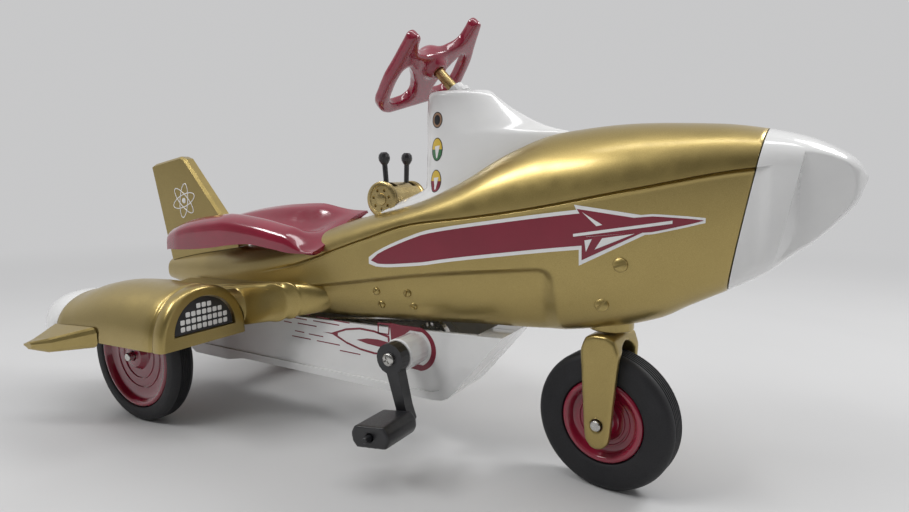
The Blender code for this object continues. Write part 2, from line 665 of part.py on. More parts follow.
def make_drive():
    crank = pivot("crank_pivot", (CRANK_X, 0, CRANK_Z), -CRANK_ANGLE, "Y")
    rod("crank_axle", AXLE_RADIUS, -32.0, 32.0, STEEL, crank, sides=20)
    sprocket("drive_sprocket", DRIVE_TEETH, 0.9, STEEL, crank)
    for side, label, down in ((-1, "right", -1), (1, "left", 1)):
        make_crank_arm(side, label, down, crank)
    rear = pivot("rear_axle_pivot", (REAR_X, 0, REAR_RADIUS))
    rod("rear_axle", AXLE_RADIUS, -REAR_Y - 8.2, REAR_Y + 8.2, STEEL, rear, sides=20)
    sprocket("rear_sprocket", DRIVEN_TEETH, 0.9, STEEL, rear)
    plate("chain", chain_path(2.3), [chain_path(1.0)], -1.5, 1.5, STEEL)


def make_crank_arm(side, label, down, crank):
    """Crank arm with a round hub and a heel that carries the pedal pin."""
    end = down * CRANK_LENGTH
    sign = 1 if down > 0 else -1
    outline = []
    outline += arc((0, 0), 6.3, sign * 90 + 28, sign * 90 + 332, 16)
    outline += [(2.4 * sign, sign * (CRANK_LENGTH - 4))]
    outline += arc((0, end), 3.3, sign * 90 - 60, sign * 90 + 60, 9)
    outline += [(-2.4 * sign, sign * (CRANK_LENGTH - 4))]
    hole = circle((0, 0), AXLE_RADIUS + GAP, 16)
    pin_hole = circle((0, end), 1.5, 12)
    frame = lambda u, v, w: (u, side * w, v)
    plate("crank_arm_" + label, outline, [hole, pin_hole], 26.8, 32.0, BLACK, crank, frame)
    low, high = sorted((side * 32.3, side * 33.5))
    rod("crank_screw_" + label, 2.5, low, high, STEEL, crank, sides=16)
    pin_low, pin_high = sorted((side * 27.4, side * 56.6))
    rod("pedal_pin_" + label, 1.2, pin_low, pin_high, BLACK, crank, centre=(0, 0, end), sides=14)
    hinge = pivot("pedal_pivot_" + label, (0, 0, end), CRANK_ANGLE - 8, "Y", parent=crank)
    half_long, half_wide, half_high = 9.5, 8.6, 4.2
    below = [(-half_wide, -1.6), (-half_wide + 1.8, -half_high), (half_wide - 1.8, -half_high),
             (half_wide, -1.6)]
    corners = below + [(-u, -v) for u, v in below]
    bore = circle((0, 0), 1.6, 14)
    middle = side * PEDAL_Y
    plate("pedal_" + label, corners, [bore], middle - half_long, middle + half_long, BLACK, hinge)


def make_rear_wheel(side, label, parent):
    tyre_profile, rim_profile = wheel_profiles(REAR_RADIUS, REAR_RIM, REAR_TYRE_HALF, 6.6)
    spin = parent or pivot("rear_wheel_pivot_" + label, (REAR_X, side * REAR_Y, REAR_RADIUS))
    shift = side * REAR_Y if parent else 0.0
    lathe("rear_tyre_" + label, tyre_profile, RUBBER, spin, "Y", (0, shift, 0), 30)
    lathe("rear_rim_" + label, [(r, side * y) for r, y in rim_profile], CRIMSON, spin, "Y", (0, shift, 0), 24)


def wheel_profiles(radius, rim, half, hub):
    """Closed sections of a tyre and of its dished rim, as (radius, offset along the axle)."""
    seat = rim + GAP
    crown = radius - 1.6
    tyre = [(seat, -half + 1.2), (seat + 0.9, -half + 0.1), (radius - 3.8, -half), (crown, -half + 0.9),
            (radius, -half + 3.0), (radius, half - 3.0), (crown, half - 0.9), (radius - 3.8, half),
            (seat + 0.9, half - 0.1), (seat, half - 1.2)]
    bore = AXLE_RADIUS + GAP
    face = [(bore, half - 0.4), (hub - 0.6, half - 0.8), (hub + 0.4, half - 3.0), (rim - 3.4, half - 3.2),
            (rim - 1.8, half - 0.6), (rim, half - 1.1)]
    back = [(rim, -half + 1.1), (rim - 1.8, -half + 0.6), (rim - 3.4, -half + 3.2), (hub + 0.4, -half + 3.0),
            (hub - 0.6, -half + 0.8), (bore, -half + 0.4)]
    return tyre, face + back


def make_front_end():
    steer = pivot("fork_pivot", (FRONT_X, 0, 0), FORK_TURN, "Z")
    half = FRONT_TYRE_HALF + 1.0
    arm_out = half + 3.2
    outline = [(-5.2, 24.0), (-4.6, 20.4), (-2.6, 18.0), (0, 17.2), (2.6, 18.0), (4.6, 20.4), (5.2, 24.0),
               (7.2, 50), (7.6, 55), (5.8, 60), (2.5, 61.6), (-2.5, 61.3), (-5.8, 59.8), (-7.6, 55),
               (-7.2, 50)]
    fork = plate("front_fork", outline, [], -arm_out, arm_out, GOLD, steer, chamfer=1.2)
    bpy.context.view_layer.update()
    gap_outline = [(-half, 0), (half, 0), (half, 50.6)]
    gap_outline += arc((0, 50.6), half, 12, 168, 9) + [(-half, 50.6)]
    sideways = lambda u, v, w: (w, u, v)
    carve(fork, plate("wheel_gap", gap_outline, [], -40, 40, GOLD, steer, sideways))
    carve(fork, rod("stem_bore", 3.3, 54, 80, STEEL, steer, "Z", sides=20))
    carve(fork, rod("axle_bore", AXLE_RADIUS + GAP, -20, 20, STEEL, steer, "Y", (0, 0, FRONT_RADIUS), 16))
    rod("fork_stem", 3.0, 58.6, 99.6, STEEL, steer, "Z", sides=20)
    arm = [(-STEERING_ARM - 4.2, -4.2), (-STEERING_ARM - 4.2, 4.2), (-STEERING_ARM + 4.2, 4.2), (-5.6, 5.0)]
    arm += arc((0, 0), 6.6, 110, -110, 13) + [(-5.6, -5.0), (-STEERING_ARM + 4.2, -4.2)]
    slot = [(-STEERING_ARM - 2.6, -2.1), (-STEERING_ARM - 2.6, 2.1), (-STEERING_ARM + 2.6, 2.1),
            (-STEERING_ARM + 2.6, -2.1)]
    flat = lambda u, v, w: (u, v, w)
    plate("steering_arm", arm, [circle((0, 0), 3.3, 16), slot], 94.4, 97.2, STEEL, steer, flat)
    lathe("stem_clip", [(3.3, 97.6), (5.4, 97.6), (5.4, 98.6), (3.3, 98.6)], STEEL, steer, "Z", (0, 0, 0), 20)
    rod("front_axle", AXLE_RADIUS, -arm_out - 0.9, arm_out + 0.9, STEEL, steer, "Y", (0, 0, FRONT_RADIUS), 16)
    spin = pivot("front_wheel_pivot", (0, 0, FRONT_RADIUS), parent=steer)
    tyre, rim = wheel_profiles(FRONT_RADIUS, FRONT_RIM, FRONT_TYRE_HALF, 5.0)
    lathe("front_tyre", tyre, RUBBER, spin, "Y", (0, 0, 0), 30)
    lathe("front_rim", rim, CRIMSON, spin, "Y", (0, 0, 0), 24)


def make_steering():
    foot = COLUMN_FOOT
    turn = FORK_TURN / STEERING_RATIO
    column = pivot("column_pivot", foot, turn, "Z", COLUMN_TILT)
    rod("steering_column", 2.2, 0.0, COLUMN_LENGTH, BRASS, column, "Z", sides=20)
    arm = [(-PITMAN_RADIUS - 1.9, -1.9), (-PITMAN_RADIUS - 1.9, 1.9), (0, 4.0)]
    arm += arc((0, 0), 4.2, 80, -80, 9) + [(0, -4.0)]
    flat = lambda u, v, w: (u, v, w)
    hole = circle((0, 0), 2.5, 14)
    plate("pitman_arm", arm, [hole], 1.0, 3.4, STEEL, column, flat)
    collar = pivot("collar_seat", foot, 0, "Z", COLUMN_TILT)
    profile = [(2.7, 60.5), (4.6, 60.5), (4.6, 64.0), (5.2, 64.6), (5.2, 66.2), (4.2, 66.8), (4.2, 69.0),
               (2.7, 69.0)]
    lathe("column_collar", profile, WHITE, collar, "Z", (0, 0, 0), 18)
    make_steering_wheel(column)


def make_steering_wheel(column):
    """Aircraft-style yoke: a U-shaped rim open at the front, two spokes and a broad lower spoke."""
    outer = arc((16.6, 16.2), 2.7, -10, 200, 8)
    outer += [(12.9, 10.0), (10.6, 8.2), (5.5, 6.6)]
    outer += [(-5.5, 6.6), (-10.6, 8.2), (-12.9, 10.0)]
    outer += arc((-16.6, 16.2), 2.7, -20, 190, 8)
    outer += [(-21.4, 6.0), (-23.4, -2), (-23.8, -8)]
    outer += arc((-14.5, -12.8), 9.6, 165, 262, 8)
    outer += arc((14.5, -12.8), 9.6, -82, 15, 8)
    outer += [(23.8, -8), (23.4, -2), (21.4, 6.0)]
    hole = [(14.8, 3.2), (10.8, -1.4), (7.6, -6.8), (5.6, -12.6), (5.6, -15.6), (8.4, -17.4)]
    hole += arc((13.0, -11.8), 6.0, -84, 6, 6) + [(18.9, -4.2), (17.6, 1.4)]
    mirror = [(-u, v) for u, v in reversed(hole)]
    level = COLUMN_LENGTH - 2.6
    frame = lambda u, v, w: (v, -u, w)
    wheel = plate("steering_wheel", outer, [hole, mirror], level - 2.6, level + 2.6, CRIMSON, column, frame,
                  1.7)
    profile = [(0, level - 6.0), (4.2, level - 6.0), (5.6, level - 3.0), (7.0, level), (6.6, level + 3.4),
               (5.0, level + 5.6), (2.6, level + 6.8), (0, level + 7.2)]
    hub = lathe("hub", profile, CRIMSON, column, "Z", (0, 0, 0), 16)
    carve(wheel, hub, "UNION")
    return carve(wheel, rod("bore", 2.2 + GAP, 0, COLUMN_LENGTH + GAP, STEEL, column, "Z", sides=16))


def make_screws():
    """Slotted screws that hold the body halves, two low on each side."""
    for side, label in ((-1, "right"), (1, "left")):
        for number, (x, z, across) in enumerate(((109.0, 89.2, 21.8), (102.2, 74.2, 20.6)), 1):
            low, high = sorted((side * across, side * (across + 1.3)))
            rod("body_screw_%s_%d" % (label, number), 2.3, low, high, GOLD, centre=(x, 0, z), sides=14)


def main():
    clear_scene()
    make_fuselage()
    make_nose()
    make_cowl()
    make_drum()
    make_levers()
    make_seat()
    make_fin()
    for side, label in ((-1, "right"), (1, "left")):
        make_pod(side, label)
        make_wing(side, label)
        make_belly(side, label)
    make_bushes()
    make_drive()
    make_front_end()
    make_steering()
    make_screws()
    rear = bpy.data.objects["rear_axle_pivot"]
    make_rear_wheel(-1, "right", rear)
    make_rear_wheel(1, "left", None)


main()
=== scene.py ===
"""Look of the missile-shaped pedal car: camera, studio light, procedural paints and detailed pieces."""
import json
import math

import bmesh
import bpy
from mathutils import Matrix, Vector
from mathutils.geometry import delaunay_2d_cdt

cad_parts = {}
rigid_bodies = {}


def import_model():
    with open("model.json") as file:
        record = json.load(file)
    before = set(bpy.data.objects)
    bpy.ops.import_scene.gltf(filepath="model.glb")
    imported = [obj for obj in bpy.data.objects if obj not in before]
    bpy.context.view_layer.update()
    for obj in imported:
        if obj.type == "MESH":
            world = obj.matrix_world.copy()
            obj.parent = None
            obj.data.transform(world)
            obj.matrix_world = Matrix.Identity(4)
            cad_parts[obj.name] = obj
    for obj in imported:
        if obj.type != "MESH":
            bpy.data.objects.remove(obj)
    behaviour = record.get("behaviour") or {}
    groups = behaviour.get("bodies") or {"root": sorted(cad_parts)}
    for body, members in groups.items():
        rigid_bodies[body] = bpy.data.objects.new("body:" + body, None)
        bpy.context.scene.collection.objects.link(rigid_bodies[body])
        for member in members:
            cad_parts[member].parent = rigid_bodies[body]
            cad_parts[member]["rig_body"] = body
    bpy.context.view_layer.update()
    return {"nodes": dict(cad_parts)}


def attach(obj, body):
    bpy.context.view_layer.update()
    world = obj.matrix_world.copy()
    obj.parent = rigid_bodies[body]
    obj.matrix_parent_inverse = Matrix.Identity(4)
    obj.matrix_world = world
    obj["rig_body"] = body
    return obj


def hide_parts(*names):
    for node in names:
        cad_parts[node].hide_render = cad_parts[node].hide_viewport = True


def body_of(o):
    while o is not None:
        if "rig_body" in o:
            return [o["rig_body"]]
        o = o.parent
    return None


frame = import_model()

MM = 0.001
SIDES = ((-1, "right"), (1, "left"))


# ---------------------------------------------------------------- materials

class Graph:
    """Small helper that adds and links shader nodes of one material."""

    def __init__(self, name):
        self.material = bpy.data.materials.new(name)
        self.material.use_nodes = True
        self.tree = self.material.node_tree
        self.shader = self.tree.nodes["Principled BSDF"]
        self.place = None

    def add(self, kind, inputs=None, **settings):
        node = self.tree.nodes.new(kind)
        for key, value in settings.items():
            setattr(node, key, value)
        for key, value in (inputs or {}).items():
            self.feed(node.inputs[key], value)
        return node

    def feed(self, socket, value):
        if isinstance(value, bpy.types.NodeSocket):
            self.tree.links.new(value, socket)
        else:
            socket.default_value = value

    def coords(self):
        if self.place is None:
            self.place = self.add("ShaderNodeTexCoord").outputs["Object"]
        return self.place

    def noise(self, scale, detail=2.0, rough=0.5):
        node = self.add("ShaderNodeTexNoise", {"Vector": self.coords(), "Scale": scale, "Detail": detail,
                                               "Roughness": rough})
        return node.outputs["Fac"]

    def remap(self, value, low, high, out_low, out_high):
        node = self.add("ShaderNodeMapRange", {"Value": value, "From Min": low, "From Max": high,
                                               "To Min": out_low, "To Max": out_high})
        return node.outputs["Result"]

    def blend_colours(self, share, first, second):
        node = self.add("ShaderNodeMix", data_type="RGBA")
        self.feed(node.inputs[0], share)
        self.feed(node.inputs[6], first if isinstance(first, bpy.types.NodeSocket) else (*first, 1.0))
        self.feed(node.inputs[7], second if isinstance(second, bpy.types.NodeSocket) else (*second, 1.0))
        return node.outputs[2]

    def bump(self, heights):
        """Chain of bumps from (height socket, distance in millimetres, strength)."""
        normal = None
        for height, distance, strength in heights:
            node = self.add("ShaderNodeBump", {"Height": height, "Distance": distance * MM,
                                               "Strength": strength})
            if normal is not None:
                self.feed(node.inputs["Normal"], normal)
            normal = node.outputs["Normal"]
        self.feed(self.shader.inputs["Normal"], normal)
        return normal

    def set(self, **values):
        for key, value in values.items():
            self.feed(self.shader.inputs[key.replace("_", " ")], value)


def gold_paint():
    g = Graph("gold_paint")
    flake = g.noise(5200, 2.0, 0.6)
    drift = g.noise(28, 3.0, 0.55)
    base = g.blend_colours(g.remap(flake, 0.3, 0.7, 0.0, 1.0), (0.36, 0.270, 0.090), (0.49, 0.375, 0.140))
    base = g.blend_colours(g.remap(drift, 0.35, 0.65, 0.0, 0.22), base, (0.33, 0.24, 0.08))
    g.set(Base_Color=base, Metallic=0.88, Roughness=g.remap(g.noise(160, 3.0), 0.3, 0.7, 0.30, 0.38))
    g.set(Coat_Weight=0.35, Coat_Roughness=0.16)
    g.bump([(g.noise(420, 2.0), 0.05, 0.35), (flake, 0.01, 0.30)])
    return g.material


def gloss_enamel(name, colour, shade, roughness=0.22, coat=1.0, peel=0.35):
    """Sprayed gloss enamel with a little orange peel and slow drift of tone."""
    g = Graph(name)
    drift = g.noise(45, 3.0, 0.6)
    base = g.blend_colours(g.remap(drift, 0.35, 0.65, 0.0, 1.0), colour, shade)
    wipe = g.noise(240, 4.0, 0.6)
    gloss = g.remap(wipe, 0.3, 0.7, roughness - 0.05, roughness + 0.06)
    g.set(Base_Color=base, Metallic=0.0, Roughness=gloss)
    g.set(Coat_Weight=coat, Coat_Roughness=0.06, Specular_IOR_Level=0.5)
    g.bump([(g.noise(330, 1.0), 0.05, peel)])
    return g.material


def rubber():
    g = Graph("black_rubber")
    grain = g.noise(1700, 3.0, 0.7)
    dust = g.noise(90, 4.0, 0.65)
    dusty = g.remap(dust, 0.45, 0.75, 0.0, 0.5)
    base = g.blend_colours(dusty, (0.008, 0.008, 0.010), (0.020, 0.019, 0.022))
    g.set(Base_Color=base, Metallic=0.0, Roughness=g.remap(grain, 0.3, 0.7, 0.50, 0.66))
    g.bump([(grain, 0.04, 0.5)])
    return g.material


def black_satin():
    g = Graph("black_satin")
    grain = g.noise(1500, 2.0, 0.6)
    worn = g.remap(g.noise(120, 3.0), 0.4, 0.7, 0.0, 1.0)
    base = g.blend_colours(worn, (0.010, 0.010, 0.012), (0.020, 0.020, 0.022))
    g.set(Base_Color=base, Metallic=0.0, Roughness=g.remap(grain, 0.3, 0.7, 0.30, 0.42), Coat_Weight=0.2,
          Coat_Roughness=0.2)
    g.bump([(g.noise(500, 2.0), 0.04, 0.3), (grain, 0.02, 0.3)])
    return g.material


def bare_metal(name, colour, shade, roughness):
    g = Graph(name)
    streak = g.add("ShaderNodeMapping", {"Vector": g.coords(), "Scale": (1.0, 1.0, 14.0)}).outputs[0]
    brushed = g.add("ShaderNodeTexNoise", {"Vector": streak, "Scale": 300.0, "Detail": 3.0}).outputs["Fac"]
    base = g.blend_colours(g.remap(g.noise(110, 3.0), 0.35, 0.7, 0.0, 1.0), colour, shade)
    gloss = g.remap(brushed, 0.3, 0.7, roughness - 0.06, roughness + 0.08)
    g.set(Base_Color=base, Metallic=1.0, Roughness=gloss)
    g.bump([(brushed, 0.02, 0.4)])
    return g.material


def bush_plastic():
    g = Graph("white_bush_plastic")
    base = g.blend_colours(g.noise(120, 2.0), (0.80, 0.80, 0.77), (0.70, 0.70, 0.67))
    g.set(Base_Color=base, Metallic=0.0,
          Roughness=g.remap(g.noise(900, 2.0), 0.3, 0.7, 0.38, 0.5))
    g.bump([(g.noise(900, 2.0), 0.03, 0.3)])
    return g.material


MATERIALS = {
    "gold_paint": gold_paint(),
    "white_enamel": gloss_enamel("white_enamel", (0.80, 0.80, 0.79), (0.76, 0.76, 0.755), 0.20),
    "crimson_enamel": gloss_enamel("crimson_enamel", (0.27, 0.009, 0.034), (0.23, 0.008, 0.028), 0.16),
    "black_rubber": rubber(),
    "black_satin": black_satin(),
    "brass": bare_metal("brass", (0.55, 0.43, 0.20), (0.45, 0.34, 0.15), 0.28),
    "bright_steel": bare_metal("bright_steel", (0.62, 0.61, 0.58), (0.50, 0.49, 0.47), 0.24),
    "white_bush_plastic": bush_plastic(),
}
MATERIALS["decal_crimson"] = gloss_enamel("decal_crimson", (0.22, 0.010, 0.030), (0.195, 0.009, 0.026),
                                          0.34, 0.25)
MATERIALS["dial_yellow"] = gloss_enamel("dial_yellow", (0.72, 0.50, 0.06), (0.66, 0.45, 0.05), 0.3, 0.6)
MATERIALS["dial_green"] = gloss_enamel("dial_green", (0.05, 0.19, 0.07), (0.04, 0.16, 0.06), 0.3, 0.6)
MATERIALS["dial_brown"] = gloss_enamel("dial_brown", (0.33, 0.20, 0.13), (0.28, 0.17, 0.10), 0.3, 0.6)


def dress_frame():
    """Gives every CAD node that stays its paint."""
    for node in frame["nodes"].values():
        for slot in node.material_slots:
            name = slot.material.name.split(".")[0] if slot.material else ""
            for key, made in MATERIALS.items():
                if name.startswith(key):
                    slot.material = made


# ---------------------------------------------------------------- mesh helpers

def new_piece(name, points, faces, paint, body, angle=38.0):
    """One closed mesh object, points in millimetres, painted and riding on a CAD body."""
    mesh = bpy.data.meshes.new(name)
    mesh.from_pydata([Vector(p) * MM for p in points], [], faces)
    tidy = bmesh.new()
    tidy.from_mesh(mesh)
    bmesh.ops.recalc_face_normals(tidy, faces=tidy.faces)
    tidy.to_mesh(mesh)
    tidy.free()
    mesh.shade_smooth()
    mesh.set_sharp_from_angle(angle=math.radians(angle))
    piece = bpy.data.objects.new(name, mesh)
    bpy.context.collection.objects.link(piece)
    if paint:
        mesh.materials.append(MATERIALS[paint])
    if body:
        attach(piece, body)
    return piece


def loft(name, rings, paint, body, angle=38.0):
    """Closed solid through a row of rings that all have the same number of points."""
    sides = len(rings[0])
    faces = []
    for i in range(len(rings) - 1):
        for j in range(sides):
            k = (j + 1) % sides
            faces.append((i * sides + j, i * sides + k, (i + 1) * sides + k, (i + 1) * sides + j))
    faces.append(tuple(range(sides)))
    faces.append(tuple((len(rings) - 1) * sides + j for j in range(sides)))
    return new_piece(name, [p for ring in rings for p in ring], faces, paint, body, angle)


def lathe(name, profile, paint, body, place=None, axis="Y", sides=72, angle=38.0):
    """Solid of revolution from (radius, along) pairs: a closed loop, or a line from axis to axis."""
    solid = profile[0][0] < 1e-6
    rim = [p for p in profile if p[0] > 1e-6]
    n = len(rim)
    points = []
    for step in range(sides):
        turn = 2 * math.pi * step / sides
        for radius, along in rim:
            x, y, z = radius * math.cos(turn), radius * math.sin(turn), along
            points.append((x, y, z) if axis == "Z" else (x, z, -y))
    faces = []
    for step in range(sides):
        after = (step + 1) % sides
        for i in range(n - 1 if solid else n):
            k = (i + 1) % n
            faces.append((step * n + i, step * n + k, after * n + k, after * n + i))
    if solid:
        faces.append(tuple(step * n for step in range(sides)))
        faces.append(tuple(step * n + n - 1 for step in range(sides)))
    place = place or Matrix.Identity(4)
    points = [place @ Vector(p) for p in points]
    return new_piece(name, points, faces, paint, body, angle)


def line_value(pairs, x):
    """Smooth curve through (x, value) pairs, with slopes that never overshoot."""
    xs = [p[0] for p in pairs]
    ys = [p[1] for p in pairs]
    if x <= xs[0]:
        return float(ys[0])
    if x >= xs[-1]:
        return float(ys[-1])
    runs = [xs[i + 1] - xs[i] for i in range(len(xs) - 1)]
    rises = [(ys[i + 1] - ys[i]) / runs[i] for i in range(len(runs))]
    slopes = [rises[0]]
    for i in range(1, len(rises)):
        pair = rises[i - 1] * rises[i]
        slopes.append(0.0 if pair <= 0 else 2 * pair / (rises[i - 1] + rises[i]))
    slopes.append(rises[-1])
    i = max(k for k in range(len(runs)) if xs[k] <= x)
    t = (x - xs[i]) / runs[i]
    start = (1 + 2 * t) * (1 - t) ** 2 * ys[i] + t * (1 - t) ** 2 * runs[i] * slopes[i]
    return start + t * t * (3 - 2 * t) * ys[i + 1] + t * t * (t - 1) * runs[i] * slopes[i + 1]


def ease(low, high, x):
    """0 below `low`, 1 above `high` and a smooth ramp between."""
    t = min(1.0, max(0.0, (x - low) / (high - low)))
    return t * t * (3 - 2 * t)


def steps(start, end, count):
    """Evenly spaced values from start to end, both included."""
    return [start + (end - start) * i / (count - 1) for i in range(count)]


def power(value, exponent):
    """Power that keeps the sign, for squared-off ovals."""
    return math.copysign(abs(value) ** exponent, value)


def soft_min(a, b, blend):
    """The smaller of two values, rounded off where they cross."""
    share = min(1.0, max(0.0, 0.5 + 0.5 * (b - a) / blend))
    return b + (a - b) * share - blend * share * (1 - share)


def carve(target, tool):
    """Cuts the tool's shape out of the target's mesh and removes the tool."""
    modifier = target.modifiers.new("carve", "BOOLEAN")
    modifier.operation = "DIFFERENCE"
    modifier.solver = "EXACT"
    modifier.object = tool
    graph = bpy.context.evaluated_depsgraph_get()
    shaped = bpy.data.meshes.new_from_object(target.evaluated_get(graph))
    target.modifiers.clear()
    target.data = shaped
    bpy.data.objects.remove(tool, do_unlink=True)
    shaped.set_sharp_from_angle(angle=math.radians(38))
    return target


def soften(piece, voxel, rounds):
    """Melts a piece's edges, as thick enamel on a casting does."""
    remesh = piece.modifiers.new("even", "REMESH")
    remesh.mode = "VOXEL"
    remesh.voxel_size = voxel * MM
    remesh.use_smooth_shade = True
    smooth = piece.modifiers.new("melt", "SMOOTH")
    smooth.factor = 0.6
    smooth.iterations = rounds
    graph = bpy.context.evaluated_depsgraph_get()
    shaped = bpy.data.meshes.new_from_object(piece.evaluated_get(graph))
    piece.modifiers.clear()
    shaped.shade_smooth()
    piece.data = shaped


# ---------------------------------------------------------------- body

TAIL_X = -156.0
SEAM_GAP = 0.25
SEAM_FOOT_X = 140.6
SEAM_FOOT_Z = 80.7
SEAM_LEAN = 9.2 / 53.0
BODY_TOP = ((-156, 70), (-130, 75), (-100, 80), (-70, 86), (-45, 91.5), (-22, 97), (0, 103), (22, 108.5),
            (42, 117), (62, 128), (82, 134.6), (110, 136.8), (135, 135.8), (150, 133.7), (161.2, 130.8),
            (169.3, 127), (174.1, 123.6), (177, 119))
BODY_BOTTOM = ((-156, 58.5), (-113, 53), (-70, 52), (-27, 53.2), (22, 56.2), (55, 58.9), (82, 60.4),
               (105, 64.3), (120, 69), (129, 74.3), (140.6, 80.7), (151.9, 87.6), (158.8, 93.6),
               (164.3, 98.2), (170, 104.2), (174.7, 110.6), (177, 117.8))
BODY_HALF = ((-156, 4.6), (-130, 9), (-100, 13), (-70, 16.5), (-30, 19.5), (22, 21.5), (60, 22.8),
             (95, 23.0), (120, 21.8), (140, 19.6), (150, 18.0), (160, 15.3), (168, 12), (174, 7.6),
             (177, 1.0))
BODY_WAIST = ((-156, 64), (-100, 67), (-50, 76), (0, 92), (24, 99.4), (53, 103.6), (76, 107.4), (114, 115.2),
              (147, 121.4), (160, 122.4), (170, 121.5), (177, 118.4))
BODY_STEP = ((-20, 0.0), (30, 0.5), (60, 0.9), (148, 0.9), (152, 0.0))
BODY_KEEL = ((-120, 0.72), (-70, 0.55), (-40, 0.42), (60, 0.42), (95, 0.62), (120, 0.72))
RECESS_TOP = ((-70, 62.0), (-40, 67.8), (-12, 72.5), (27.8, 79.4), (62.2, 84.1), (81.3, 86.2), (100, 87.5))
RECESS_FRONT = 86.6
RECESS_CORNER = 7.0
GROOVE_ROWS = (0.12, 0.3, 0.48, 0.66, 0.84, 1.05, 1.3, 1.6, 1.95, 2.4, 3.0)
WALL_ROWS = 64
KEEL_ROWS = (0.95, 0.9, 0.84, 0.77, 0.69, 0.6, 0.5, 0.38, 0.26, 0.13, 0.0)
DOME_ROWS = 30
FLAT_SHARE = 0.62               # how far out the rounded bottom corner starts, as a share of the half width
KEEL_LIFT = 0.14                # added to the keel exponent for heights
SHALLOW = 12.0                  # the crease shrinks where the lower side is less deep than this
RECESS_DEPTH = 3.0


def body_rows():
    """Rows of the side of the body from the top down: (kind, value)."""
    rows = [("dome", 90.0 * (1 - i / DOME_ROWS) ** 1.15) for i in range(DOME_ROWS + 1)]
    rows += [("groove", off) for off in GROOVE_ROWS]
    rows += [("wall", (i + 1) / WALL_ROWS) for i in range(WALL_ROWS)]
    rows += [("keel", share) for share in KEEL_ROWS]
    return rows


def body_spot(x, row):
    """(across, height, drop below the waist) of one row at a station, before creases and recesses."""
    kind, value = row
    top, bottom = line_value(BODY_TOP, x), line_value(BODY_BOTTOM, x)
    half = line_value(BODY_HALF, x)
    waist = min(max(line_value(BODY_WAIST, x), bottom + 0.3), top - 0.3)
    if kind == "dome":
        c, s = math.cos(math.radians(value)), math.sin(math.radians(value))
        return half * power(max(c, 0.0), 0.86), waist + (top - waist) * power(s, 0.92), 0.0
    under = half - line_value(BODY_STEP, x)
    keel = line_value(BODY_KEEL, x)
    deep = waist - bottom
    c = FLAT_SHARE ** (1 / keel)
    limit = math.sqrt(1 - c * c) ** (keel + KEEL_LIFT)
    if kind == "keel":
        share = FLAT_SHARE * value / KEEL_ROWS[0]
        c = share ** (1 / keel)
        return under * share, waist - deep * math.sqrt(1 - c * c) ** (keel + KEEL_LIFT), deep
    squeeze = min(1.0, deep / SHALLOW)
    near = GROOVE_ROWS[-1] * squeeze
    drop = value * squeeze if kind == "groove" else near + (limit * deep - near) * value
    s = min(1.0, drop / deep) ** (1 / (keel + KEEL_LIFT))
    return under * math.sqrt(max(0.0, 1 - s * s)) ** keel, waist - drop, drop


def recess_depth(x, z):
    """Share of the pedal recess's full depth at a spot on the body's side."""
    below = line_value(RECESS_TOP, x) - z
    behind = RECESS_FRONT - x
    edge = min(below, behind)
    if below < RECESS_CORNER and behind < RECESS_CORNER:
        edge = RECESS_CORNER - math.hypot(RECESS_CORNER - below, RECESS_CORNER - behind)
    return ease(0.0, 2.0, edge) * (0.25 * ease(0.0, 1.6, behind) + 0.75 * ease(0.4, 7.5, behind))


def pulled_in(x, across, height, inset, least=0.0):
    """The spot moved towards the middle of the body, for the lips at the seam and the tail."""
    size = max(line_value(BODY_HALF, x), least)
    lift = (line_value(BODY_WAIST, x) - height) * min(1.0, inset / 24.0)
    return across * max(0.0, 1 - inset / size), height + lift


def skin(x, row, inset=0.0):
    """(across, height) of the finished fuselage's side, with its waist crease and pedal recess."""
    across, height, drop = body_spot(x, row)
    if row[0] != "dome":
        fade = ease(-70, -25, x) * (1 - ease(148, 151, x))
        across -= 0.75 * fade * math.exp(-((drop - 0.45) / 0.30) ** 2)
        across += 0.28 * fade * math.exp(-((drop - 1.2) / 0.4) ** 2)
        inward = row[1] / KEEL_ROWS[0] if row[0] == "keel" else 1.0
        across -= RECESS_DEPTH * inward * recess_depth(x, height) * ease(-80, -40, x)
    if inset:
        across, height = pulled_in(x, across, height, inset)
    return max(across, 0.0), height


def raked_ring(base, rake, side_of, inset=0.0):
    """Closed ring of the body that leans with the seam by `rake` from 0 to 1.

    The rows' places and the ring's lean depend on each other, so a few rounds settle them.
    """
    right, left = [], []
    for row in body_rows():
        x = base
        for _ in range(4):
            across, height = side_of(x, row, inset)
            x = base + rake * SEAM_LEAN * (height - SEAM_FOOT_Z)
        right.append((x, -across, height))
        left.append((x, across, height))
    return right + left[-2:0:-1]


def make_fuselage():
    """The gold body, with a rounded lip turned in at the seam."""
    lip = SEAM_FOOT_X - SEAM_GAP
    rings = [raked_ring(TAIL_X - 0.05, 0.0, skin, 0.35)]
    rings += [raked_ring(base, ease(40, 120, base), skin) for base in steps(TAIL_X, lip, 230)]
    for ahead, inset in ((0.12, 0.18), (-0.6, 0.7), (-2.5, 0.9)):
        rings.append(raked_ring(lip + ahead, 1.0, skin, inset))
    piece = loft("fuselage_skin", rings, "gold_paint", "body", 50)
    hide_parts("fuselage")
    return piece


BAND_END = 152.2                # foot of the raked line where the band round the nose ends
FACET_X, FACET_Z, FACET_Y = 157.5, 124.7, 15.0
FACET_SLOPE_X, FACET_SLOPE_Z = 0.334, 0.232
WALL_DEPTH = 3.4


def nose_band(x, row, inset):
    """The nose's side up to the end of its band, without a recess."""
    across, height, _ = body_spot(x, row)
    if inset:
        across, height = pulled_in(x, across, height, inset, 1.2)
    return max(across, 0.0), height


